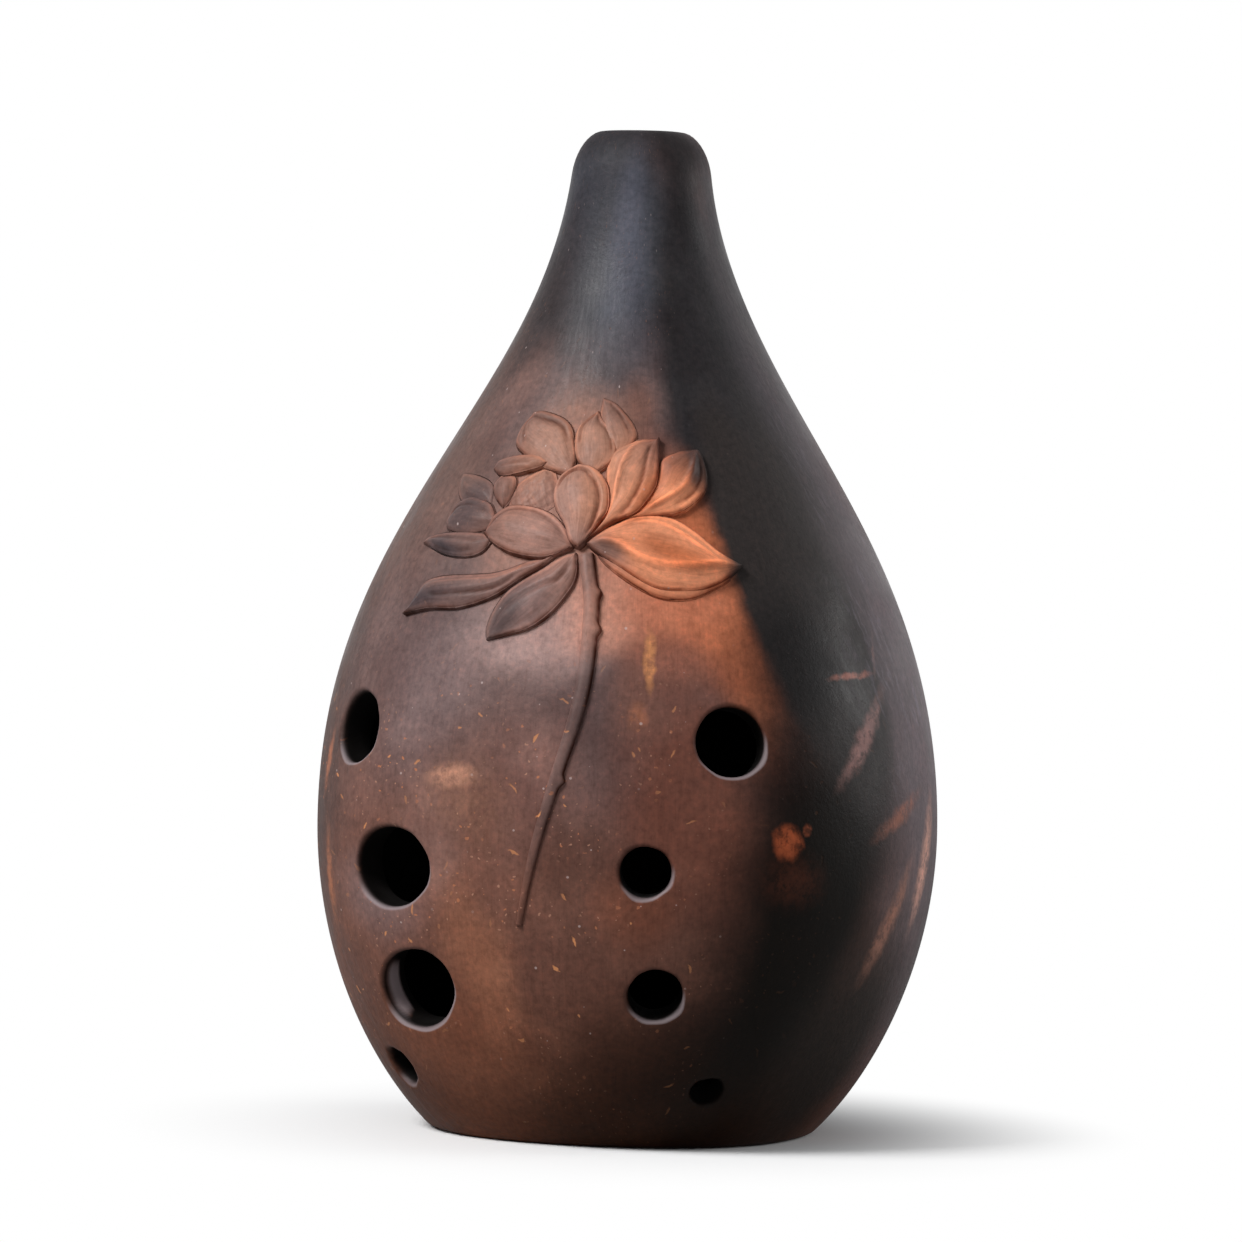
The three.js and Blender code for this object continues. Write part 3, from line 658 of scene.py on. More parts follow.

# Small marks where the fire or a straw touched the clay, and charcoal edges that also carry painted core
# shadow, on the same plan
fireMarksAndPaintedShade = {
    "charcoalFoot": ((76, 15), (11, 17), -20, 0.6, (38, 33, 30), 0.95),
    # sharp charcoal edge and dark patch, both partly painted core shadow
    "charcoalEdgeAndCoreShade": ((61.5, 80), (10, 31), 18, 0.16, (51, 46, 45), 1.0),
    "charcoalLowAndCoreShade": ((57, 72), (7, 9), 10, 0.6, (28, 26, 27), 0.8),
    "paleBlotch": ((-14, 54.4), (3.4, 1.5), 8, 0.6, (206, 150, 124), 0.85),
    "blotchHaze": ((-10, 51), (6, 4.5), -30, 0.9, (140, 100, 82), 0.5),
    "ochreStreak": ((26.3, 72), (0.8, 3.8), 0, 0.5, (198, 134, 88), 0.85),
    "ochreSpot": ((24, 64), (1.2, 1.7), 0, 0.6, (158, 100, 74), 0.7),
    "orangeOval": ((52.5, 46), (1.9, 2.4), 0, 0.35, (172, 86, 52), 0.95),
    "orangeSpot": ((56.5, 48), (0.6, 0.8), 0, 0.5, (150, 80, 54), 0.8),
    "ovalShade": ((54, 40.5), (3.4, 3), 0, 0.9, (84, 44, 30), 0.6),
    "pinkTaper": ((71, 70), (4, 0.5), 3, 0.5, (176, 116, 102), 0.9),
    "pinkTaperRise": ((80, 73), (0.35, 3.4), -18, 0.6, (128, 104, 102), 0.8),
    "pinkStreak": ((72, 61), (7, 1.3), 52, 0.6, (164, 124, 118), 0.9),
    "terracottaStreak": ((83, 49.5), (5, 1.0), 26, 0.9, (164, 108, 90), 0.9),
    "sideStreakUpper": ((96, 42), (7, 1.5), 76, 0.9, (226, 172, 154), 1.0),
    "sideStreakLower": ((82, 34), (7, 1.4), 62, 0.9, (166, 118, 100), 0.9),
    "leftStreakUpper": ((-53, 55), (0.9, 3.6), -8, 0.7, (176, 112, 84), 0.85),
    "leftStreakLower": ((-51, 38), (1, 6), 0, 0.7, (172, 110, 80), 0.8),
    "backMark": ((-168, 50), (3.2, 1.2), 30, 0.6, (180, 122, 96), 0.8),
    "backStreak": ((126, 58), (6, 1), -40, 0.6, (140, 98, 84), 0.75),
}
clayFinish = {
    "bare": (108, 87, 84), "drift": 0.9, "warp": 1.8, "warpFine": 420.0,
    "roughLow": 0.38, "roughHigh": 0.54, "specular": 0.13, "bumpDepth": 0.0003,
    "bumpFine": 0.2, "bumpStroke": 0.12, "bumpTool": 0.5, "bumpPores": 0.3, "bumpGrain": 0.6,
    "bumpLitter": 0.25, "burnishTall": 0.08, "burnishFine": 1.4, "burnishShare": 0.2,
    "toolAlong": 0.2, "toolOver": 1.7, "toolShare": 0.34,
    "soot": (11, 8, 7), "wear": (164, 150, 153), "creaseShade": (0.32, 0.17, 0.11),
    "ridgeShade": (1.8, 1.5, 1.32),
}

# Strokes of the burnishing stone on the right side, painted pale and dark as the sheen of burnished facets:
# slant in degrees, width and length, colours, and where they set in and end, in radians round from the front
# and in millimetres up
burnishing = {
    "slant": 16, "size": (1.1, 6.0), "share": 0.5, "pale": (140, 132, 142), "dark": (52, 45, 46),
    "around": ((1.1, 1.5), (2.9, 2.2)), "up": ((46.0, 62.0), (122.0, 84.0)),
}

# Noises of the clay: fineness, detail and roughness
clayNoises = {
    "clouds": (90.0, 5.0, 0.6), "mottle": (130.0, 6.0, 0.65), "patches": (330.0, 4.0, 0.7),
    "brushed": (620.0, 3.0, 0.7), "rubs": (55.0, 2.0), "grain": (1100.0, 3.0, 0.6),
    "clusters": (60.0, 2.0), "spread": (95.0, 2.0), "creaseShadowBreakup": (260.0, 3.0, 0.6), "pores": (2200.0, 3.0, 0.6),
}

# Tones over what lies below: the noise, where it sets in and is full, strength, and shade to multiply by
clayTones = {
    "firedAndPaintedLight": (
        ("clouds", 0.62, 0.38, 1.0, (0.78, 0.74, 0.74)), ("clouds", 0.5, 0.7, 1.0, (1.22, 1.18, 1.16)),
        ("mottle", 0.44, 0.6, 0.3, (0.72, 0.66, 0.66)), ("patches", 0.5, 0.72, 0.25, (1.34, 1.22, 1.16)),
        ("patches", 0.48, 0.3, 0.25, (0.7, 0.66, 0.68))),
    "lines": (
        ("lines", 0.5, 0.67, 1.0, (1.4, 1.25, 1.18)), ("lines", 0.49, 0.34, 1.0, (0.58, 0.47, 0.43))),
    "grain": (
        ("grain", 0.48, 0.68, 0.3, (1.9, 1.6, 1.5)), ("grain", 0.5, 0.32, 0.4, (0.5, 0.45, 0.42))),
}


def addMark(recipe, plan, colour, mark, broken):
    (degrees, height), size, turn, soft, shade, strength = mark
    inside = recipe.within(plan, (math.radians(degrees) * planRadius, height), turn, size)
    far = recipe.vector("LENGTH", inside, out="Value")
    return recipe.mix(far.step(1 + soft, 1 - soft) * strength * broken, colour, tint(*shade))


# Short dashes on the plan, each turned its own way round the middle of its cell
def dashes(recipe, plan, cell, size, share):
    length, width = size
    cells = recipe.cells(plan, cell, "Position")
    dice = cells.other("Color")
    offset = recipe.vector("SUBTRACT", plan, cells)
    way = recipe.vector("MULTIPLY", recipe.vector("SUBTRACT", dice, (0.5, 0.5, 0.5)), (1.0, 1.0, 0.0))
    way = recipe.vector("NORMALIZE", way)
    along = recipe.vector("DOT_PRODUCT", offset, way, out="Value")
    beside = recipe.vector("SUBTRACT", offset, recipe.vector("SCALE", way, scale=along))
    thin = recipe.vector("LENGTH", beside, out="Value") / width
    chance = recipe.split(dice, "Z")
    long = along / ((chance * 1.1 + 0.25) * length)
    far = (long * long + thin * thin) ** 0.5
    return far.step(1.3, 0.7) * chance.under(share)


def dots(recipe, plan, cell, size, share):
    cells = recipe.cells(plan, cell, "Distance")
    dice = recipe.split(cells.other("Color"))
    reach = (dice.other("Y") * 0.8 + 0.3) * (size / cell)
    return (cells / reach).step(1.2, 0.7) * dice.under(share)


# Burnt-out straw and what else dots the clay: how it is drawn, cell, size, share of cells that hold one, the
# noise that gathers it, how much more there is low down, how much everywhere, and colour
litter = {
    "straw": (dashes, 6.5, (0.95, 0.17), 0.55, "clusters", 0.85, 0.1, (206, 138, 92)),
    "crumbs": (dots, 2.3, 0.24, 0.5, "spread", 0.7, 0.12, (186, 118, 84)),
    "dust": (dots, 1.3, 0.15, 0.45, "spread", 0.5, 0.15, (190, 140, 116)),
    "specks": (dots, 7.0, 0.2, 0.6, "clusters", 0.0, 0.6, (196, 176, 172)),
}


def smokedClay(name, uneven, tooled):
    recipe = Recipe(name)
    place = recipe.node("TexCoord", out="Object")
    x = recipe.split(place)
    y, height = x.other("Y"), x.other("Z") * (1 / millimetre)
    around = x.math("ARCTAN2", -y)
    flatPlan = recipe.join(around * planRadius, height)
    noises = {label: recipe.noise(place, *numbers) for label, numbers in clayNoises.items()}
    wander = recipe.vector("SUBTRACT", recipe.noise(place, clayFinish["warpFine"], out=1), (0.5, 0.5, 0.5))
    wander = recipe.vector("SCALE", wander, scale=clayFinish["warp"])
    near = recipe.vector("MULTIPLY", recipe.vector("ADD", flatPlan, wander), (1.0, 1.0, 0.0))

    def shaded(factor, below, shade):
        return recipe.mix(factor, below, recipe.mix(1.0, below, (*shade, 1), "MULTIPLY"))

    def toned(below, kind, share):
        for label, low, high, strength, shade in clayTones[kind]:
            below = shaded(noises[label].step(low, high, 0.0, strength * share), below, shade)
        return below

    # fired body colour with its clouds, some carrying painted shade and sheen, a little uneven, and the small
    # marks
    colour = toned(recipe.stored("firedAndPaintedLight", "Color"), "firedAndPaintedLight", uneven)
    brushed = noises["brushed"].step(0.34, 0.56, 0.35, 1.0)
    for label, mark in fireMarksAndPaintedShade.items():
        colour = addMark(recipe, near, colour, mark, 1.0 if label.startswith("charcoal") else brushed)

    slant = recipe.within(near, (0.0, 0.0), burnishing["slant"], burnishing["size"])
    strokes = recipe.noise(slant, 1.0, 5.0, 0.65, 0.4)
    rightSide = noises["rubs"].step(0.42, 0.62, 0.1, 1.0)
    for measure, spans in ((around, burnishing["around"]), (height, burnishing["up"])):
        for low, high in spans:
            rightSide = rightSide * measure.step(low, high)
    # pale and dark streaks: painted sheen of the burnished facets
    for low, high, shade in ((0.5, 0.64, burnishing["pale"]), (0.48, 0.36, burnishing["dark"])):
        stroke = strokes.step(low, high, 0.0, burnishing["share"])
        colour = recipe.mix(stroke * rightSide, colour, tint(*shade))

    # the modelling tool's strokes run along each petal; the burnishing stone's lines stand upright, on a
    # cylinder so that they join at the back
    if tooled:
        pulled = recipe.join(recipe.stored("along") * clayFinish["toolAlong"],
                             recipe.stored("over") * clayFinish["toolOver"])
        noises["lines"] = recipe.noise(pulled, 1.0, 4.0, 0.6, 0.3)
    else:
        radius = (x * x + y * y) ** 0.5
        tall = height * clayFinish["burnishTall"]
        upright = recipe.join(x / radius * planRadius, y / radius * planRadius, tall)
        noises["lines"] = recipe.noise(upright, clayFinish["burnishFine"], 5.0, 0.65, 1.5)
    colour = toned(colour, "lines", clayFinish["toolShare"] if tooled else clayFinish["burnishShare"])
    colour = toned(colour, "grain", uneven)

    lit = (1 - around.step(0.5, 0.8) * 0.95) * height.step(0.3, 30.0, 0.1, 1.0)
    low = height.step(74.0, 56.0)
    gathers = {"clusters": noises["clusters"].step(0.4, 0.6, 0.25, 1.0),
               "spread": noises["spread"].step(0.45, 0.62)}
    pits = {}
    for kind, (drawn, cell, size, share, gather, lowDown, everywhere, shade) in litter.items():
        pits[kind] = drawn(recipe, flatPlan if kind == "specks" else near, cell, size, share)
        seen = pits[kind] * lit * gathers[gather] * (low * lowDown + everywhere)
        colour = recipe.mix(seen, colour, tint(*shade))

    # painted highlight, partly wear, on the hole rims and the relief's ridges; painted shade inside the holes
    # and chamber and in the creases of the relief
    rimWearAndLight, hollow = recipe.stored("rimWearAndLight"), recipe.stored("hollow")
    creaseShadow, ridge = recipe.stored("creaseShadow"), recipe.stored("ridge")
    colour = shaded(ridge * 0.75, colour, clayFinish["ridgeShade"])
    colour = shaded(creaseShadow * noises["creaseShadowBreakup"].step(0.36, 0.58, 0.4, 1.0), colour, clayFinish["creaseShade"])
    colour = recipe.mix(rimWearAndLight.step(0.2, 0.85) * 0.8, colour, tint(*clayFinish["wear"]))
    colour = recipe.mix(hollow.step(0.0, 0.4), colour, tint(*clayFinish["soot"]))

    rough = noises["clouds"].step(0.3, 0.7, clayFinish["roughLow"], clayFinish["roughHigh"])
    rough = rough + strokes.step(0.3, 0.7, -0.05, 0.05) + hollow * 0.35 + creaseShadow * 0.2
    rough = rough + height.step(142.0, 148.0) * 0.25
    relief = noises["grain"] * clayFinish["bumpGrain"] + noises["pores"] * clayFinish["bumpPores"]
    relief = relief + strokes * rightSide * clayFinish["bumpStroke"]
    relief = relief - (pits["straw"] + pits["crumbs"]) * clayFinish["bumpLitter"]
    if tooled:
        relief = relief + noises["lines"] * clayFinish["bumpTool"]
    bump = recipe.node("Bump", {}, {"Strength": clayFinish["bumpFine"], "Distance": clayFinish["bumpDepth"],
                                    "Height": relief})
    shader = recipe.node("BsdfPrincipled", {}, {
        "Base Color": colour, "Roughness": rough.atLeast(0.2).atMost(0.95), "Normal": bump,
        "Specular IOR Level": clayFinish["specular"]})
    recipe.node("OutputMaterial", {}, {"Surface": shader})
    return recipe.material


shellClay = smokedClay("smokedClay", 0.75, False)
petalClay = smokedClay("reliefClay", 0.55, True)
print("clay materials ready")

frontClay, frontGrid = halfShell(0.0, [name for name, hole in holes.items() if abs(hole[0]) < 90])
backClay, backGrid = halfShell(math.pi, [name for name, hole in holes.items() if abs(hole[0]) > 90])
slipClay = seamStrip(frontClay, frontGrid, backClay, backGrid)
shellParts = (("frontShell", "front_shell", frontClay), ("backShell", "back_shell", backClay),
              ("seamSlip", "seam_slip", slipClay))
for (name, node, clay), normals in zip(shellParts, sharedNormals([part[2] for part in shellParts])):
    addPiece(name, clay, shellClay, node, "smoked_clay", normals)
print("shell halves and slip made")


# Lotus: every petal's outline as in the model, in shares of the flower's width and height from its heart
flower = {
    "side": 10, "height": 88, "width": 52, "tall": 36, "cell": 0.3, "sunk": 0.5, "edgeRound": 0.28,
    "lumps": 0.065, "shadedEdgesTo": (0.5, -0.87),  # the way that the lower edges with painted shade face
    "skirt": ((0.08, 0.12), (0.13, 0.3), (0.15, 0.6), (0.15, 1.0)),  # millimetres out, share down
}
flowerScale = np.array([flower["width"], flower["tall"]])
heartSide = math.radians(flower["side"])
heartRadius = float(np.hypot(*skin(np.array([heartSide]), np.array([float(flower["height"])]))[0][:2]))
reliefValues = ("creaseShadow", "ridge", "along", "over")


def onFlower(spots, lift):
    side = heartSide + spots[..., 0] / heartRadius
    z = flower["height"] + spots[..., 1]
    return skin(side, z) + skinFrame(side, z)[2] * np.asarray(lift)[..., None]


def spline(points):
    points = np.array(points, float)
    last = len(points) - 1
    spot = np.linspace(0, last, curvePoints)
    i = np.minimum(spot.astype(int), last - 1)
    w = (spot - i)[:, None]
    before, here = points[np.maximum(i - 1, 0)], points[i]
    ahead, beyond = points[i + 1], points[np.minimum(i + 2, last)]
    runHere, runAhead = (ahead - before) / 2, (beyond - here) / 2
    return ((2 * here - 2 * ahead + runHere + runAhead) * w ** 3
            + (-3 * here + 3 * ahead - 2 * runHere - runAhead) * w ** 2 + runHere * w + here)


def petalEdges(petal):
    root, tip = petal["root"] * flowerScale, petal["tip"] * flowerScale
    along = tip - root
    leftward = np.array([-along[1], along[0]])
    return [spline([root] + [root + far * along + turn * out * leftward for far, out in petal[edge]] + [tip])
            for edge, turn in (("left", 1), ("right", -1))]


# Each petal: root, tip and edges, then the lift of its edge, its crown and the crown's width, how much the
# left and right edges melt into the ground, and lines drawn on it as (points along and across, width,
# height), a groove where the height is below nothing
petals = {
    "petal_centre": {
        "root": (-0.01, -0.01), "tip": (-0.05, 0.32),
        "left": [(0.08, 0.1), (0.3, 0.17), (0.52, 0.3), (0.72, 0.33), (0.9, 0.24)],
        "right": [(0.06, 0.09), (0.23, 0.24), (0.38, 0.39), (0.62, 0.42), (0.8, 0.35), (0.94, 0.2)],
        "edge": 1.35, "crown": 0.85, "crownWidth": 2.2, "melt": (0, 0),
        "lines": [([(0.62, 0.95), (0.76, 0.73), (0.84, 0.2), (0.79, -0.42), (0.63, -0.62), (0.48, -0.66),
                    (0.26, -0.7), (0.1, -0.5)], 0.32, -0.45)],
    },
    "petal_left_cup": {
        "root": (-0.03, -0.01), "tip": (-0.31, 0.036),
        "left": [(0.19, 0.11), (0.37, 0.15), (0.62, 0.14), (0.84, 0.08)],
        "right": [(0.11, 0.16), (0.32, 0.29), (0.59, 0.33), (0.84, 0.3), (0.98, 0.17)],
        "edge": 1.3, "crown": 0.8, "crownWidth": 2.4, "melt": (0, 0.3),
        "lines": [([(0.97, 0.0), (0.86, -0.55), (0.7, -0.8), (0.48, -0.82), (0.26, -0.72),
                  (0.1, -0.4)], 0.3, -0.25)],
    },
    "petal_upper_right": {
        "root": (0.01, 0.015), "tip": (0.225, 0.44),
        "left": [(0.17, 0.02), (0.3, 0.06), (0.45, 0.2), (0.61, 0.31), (0.75, 0.26), (0.9, 0.12)],
        "right": [(0.11, 0.03), (0.25, 0.08), (0.4, 0.17), (0.55, 0.19), (0.68, 0.18), (0.8, 0.12),
                  (0.94, 0.03)],
        "edge": 1.3, "crown": 0.6, "crownWidth": 1.8, "melt": (0.75, 0),
        "lines": [([(0.9, 0.85), (0.8, 0.7), (0.62, 0.35), (0.47, 0.3), (0.32, 0.27),
                  (0.15, 0.1)], 0.4, 0.45),
                  ([(0.9, -0.1), (0.84, -0.1), (0.68, -0.4), (0.56, -0.55), (0.4, -0.6),
                    (0.26, -0.8)], 0.35, -0.35)],
    },
    "petal_curled": {
        "root": (-0.168, 0.33), "tip": (-0.37, 0.297),
        "left": [(0.16, 0.06), (0.49, 0.1), (0.8, 0.11)],
        "right": [(0.12, 0.09), (0.31, 0.14), (0.67, 0.16), (0.95, 0.12)],
        "edge": 1.0, "crown": 0.6, "crownWidth": 1.0, "melt": (0, 0.2),
        "lines": [([(0.86, 0.1), (0.56, -0.1), (0.26, 0.05)], 0.35, -0.3)],
    },
    "petal_lower_right": {
        "root": (0.01, 0.01), "tip": (0.426, -0.067),
        "left": [(0.07, 0.08), (0.17, 0.15), (0.31, 0.23), (0.44, 0.25), (0.57, 0.24), (0.7, 0.18),
                 (0.85, 0.07)],
        "right": [(0.08, 0.05), (0.22, 0.11), (0.36, 0.18), (0.5, 0.23), (0.64, 0.22), (0.78, 0.18),
                  (0.9, 0.1)],
        "edge": 1.05, "crown": 0.5, "crownWidth": 2.0, "melt": (0.3, 0),
        "lines": [([(0.02, 0.0), (0.14, 0.1), (0.25, -0.1), (0.36, -0.33), (0.49, -0.35), (0.66, -0.25),
                    (0.84, 0.1), (0.97, 0.0)], 0.55, 0.6),
                  ([(0.3, 0.8), (0.46, 0.78), (0.61, 0.62), (0.74, 0.48), (0.84, 0.3)], 0.35, 0.25)],
    },
    "petal_lower_left_long": {
        "root": (-0.073, -0.034), "tip": (-0.5, -0.3),
        "left": [(0.1, 0.04), (0.24, 0.07), (0.41, 0.11), (0.62, 0.1), (0.82, 0.03)],
        "right": [(0.15, 0.02), (0.36, 0.03), (0.5, 0.07), (0.7, 0.14), (0.84, 0.16), (0.93, 0.08)],
        "edge": 0.9, "crown": 0.5, "crownWidth": 1.4, "melt": (0, 0.6),
        "lines": [([(0.8, -0.68), (0.57, -0.62), (0.4, -0.5), (0.3, -0.35), (0.14, -0.3)], 0.35, 0.35),
                  ([(0.8, 0.1), (0.6, 0.2), (0.46, 0.35), (0.36, 0.45), (0.24, 0.32)], 0.35, -0.3)],
    },
    "petal_right": {
        "root": (0.12, 0.11), "tip": (0.353, 0.397),
        "left": [(0.24, 0), (0.5, 0.1), (0.63, 0.18), (0.82, 0.12)],
        "right": [(0.3, 0.2), (0.42, 0.27), (0.57, 0.3), (0.74, 0.3), (0.87, 0.24), (0.98, 0.09)],
        "edge": 0.95, "crown": 0.4, "crownWidth": 1.5, "melt": (0.3, 0),
        "lines": [([(0.94, 0.2), (0.9, 0.2), (0.73, -0.15), (0.56, -0.28), (0.36, 0.0),
                  (0.16, 0.3)], 0.4, 0.5),
                  ([(0.9, -0.35), (0.75, -0.6), (0.58, -0.7), (0.4, -0.6)], 0.35, -0.3)],
    },
    "petal_tongue": {
        "root": (-0.28, 0.145), "tip": (-0.33, 0.28),
        "left": [(0.35, 0.2), (0.8, 0.3)],
        "right": [(0.25, 0.33), (0.7, 0.43)],
        "edge": 0.7, "crown": 0.5, "crownWidth": 1.0, "melt": (0, 0.3), "lines": [],
    },
    "seed_pod": {
        "root": (-0.142, 0.13), "tip": (-0.207, 0.3),
        "left": [(0.2, 0.6), (0.67, 0.75), (0.95, 0.5)],
        "right": [(0.1, 0.4), (0.62, 0.47), (0.92, 0.35)],
        "edge": 0.45, "crown": 0.35, "crownWidth": 1.4, "melt": (0.8, 0.8), "lines": [], "seeds": 0.22,
    },
    "petal_top": {
        "root": (0, 0.284), "tip": (-0.013, 0.545),
        "left": [(0.2, 0.28), (0.38, 0.4), (0.64, 0.45), (0.81, 0.38), (0.93, 0.18)],
        "right": [(0.22, 0.4), (0.45, 0.44), (0.69, 0.33), (0.85, 0.13)],
        "edge": 0.85, "crown": 0.4, "crownWidth": 1.6, "melt": (0.1, 0.1),
        "lines": [([(0.96, 0.2), (0.82, 0.68), (0.66, 0.74), (0.45, 0.78)], 0.35, -0.25),
                  ([(0.97, -0.2), (0.78, -0.35), (0.68, -0.62), (0.56, -0.75), (0.38, -0.8)], 0.3, -0.2)],
    },
    "petal_lower_left": {
        "root": (-0.018, -0.027), "tip": (-0.223, -0.384),
        "left": [(0.11, 0.13), (0.22, 0.19), (0.4, 0.22), (0.56, 0.22), (0.72, 0.18), (0.88, 0.08)],
        "right": [(0.09, 0.07), (0.28, 0.12), (0.45, 0.17), (0.63, 0.2), (0.8, 0.16), (0.94, 0.08)],
        "edge": 0.85, "crown": 0.75, "crownWidth": 1.8, "melt": (0, 0.55),
        "lines": [([(0.95, -0.3), (0.74, -0.48), (0.62, -0.42), (0.51, -0.28), (0.36, -0.05), (0.28, 0.2),
                    (0.1, 0.4)], 0.4, -0.4)],
    },
    "petal_left_lower": {
        "root": (-0.282, 0.023), "tip": (-0.54, -0.006),
        "left": [(0.1, 0.15), (0.32, 0.19), (0.58, 0.15), (0.78, 0.08)],
        "right": [(0.15, 0.06), (0.5, 0.09), (0.75, 0.09), (0.93, 0.06)],
        "edge": 0.7, "crown": 0.5, "crownWidth": 1.2, "melt": (0.2, 0.3),
        "lines": [([(0.9, -0.5), (0.73, -0.55), (0.38, -0.4), (0.16, -0.1)], 0.3, -0.25),
                  ([(0.85, 0.5), (0.5, 0.6), (0.22, 0.5)], 0.3, -0.2)],
    },
    "petal_top_left": {
        "root": (-0.07, 0.28), "tip": (-0.3, 0.538),
        "left": [(0.36, 0.18), (0.66, 0.27), (0.88, 0.3), (0.99, 0.17)],
        "right": [(0.1, 0.13), (0.26, 0.22), (0.42, 0.28), (0.62, 0.24), (0.89, 0.1)],
        "edge": 0.75, "crown": 0.25, "crownWidth": 1.4, "melt": (0.2, 0.1),
        "lines": [([(0.62, 0.8), (0.84, 0.62), (0.88, -0.1), (0.72, -0.6), (0.5, -0.72),
                  (0.3, -0.68)], 0.35, -0.22)],
    },
    "petal_top_back": {
        "root": (0.073, 0.351), "tip": (-0.003, 0.602),
        "left": [(0.4, 0.15), (0.75, 0.12)],
        "right": [(0.13, 0.45), (0.31, 0.5), (0.53, 0.42), (0.81, 0.24)],
        "edge": 0.55, "crown": 0.3, "crownWidth": 1.2, "melt": (0.2, 0.1),
        "lines": [([(0.85, -0.55), (0.6, -0.6), (0.35, -0.6)], 0.3, -0.2)],
    },
    "petal_left_upper": {
        "root": (-0.285, 0.088), "tip": (-0.48, 0.08),
        "left": [(0.2, 0.13), (0.6, 0.16), (0.9, 0.1)],
        "right": [(0.21, 0.25), (0.45, 0.33), (0.71, 0.37), (0.95, 0.24)],
        "edge": 0.55, "crown": 0.35, "crownWidth": 1.1, "melt": (0.4, 0.1),
        "lines": [([(0.92, -0.5), (0.72, -0.62), (0.45, -0.6), (0.25, -0.5)], 0.3, -0.25)],
    },
    "petal_lower_right_back": {
        "root": (0.045, -0.035), "tip": (0.39, -0.118),
        "left": [(0.5, 0.02)],
        "right": [(0.1, 0.07), (0.32, 0.18), (0.52, 0.24), (0.72, 0.21), (0.9, 0.09)],
        "edge": 0.6, "crown": 0.2, "crownWidth": 0.8, "melt": (0, 0.1), "lines": [],
    },
    "petal_left_back": {
        "root": (-0.333, 0.162), "tip": (-0.518, 0.284),
        "left": [(0.44, 0.21), (0.68, 0.22), (0.88, 0.13)],
        "right": [(0.24, 0.2), (0.64, 0.14)],
        "edge": 0.4, "crown": 0.25, "crownWidth": 1.2, "melt": (0.6, 0.6), "lines": [],
    },
}
orangePetals = ("petal_upper_right", "petal_lower_right", "petal_right", "petal_lower_right_back")


def distanceTo(spots, line):
    best = np.full(spots.shape[:-1], 1e9)
    where = np.zeros(spots.shape[:-1])
    count = len(line) - 1
    for k in range(count):
        a, run = line[k], line[k + 1] - line[k]
        share = np.clip(((spots - a) @ run) / max(run @ run, 1e-12), 0, 1)
        gap = np.linalg.norm(spots - a - share[..., None] * run, axis=-1)
        where = np.where(gap < best, (k + share) / count, where)
        best = np.minimum(best, gap)
    return best, where


outlineSteps = 120


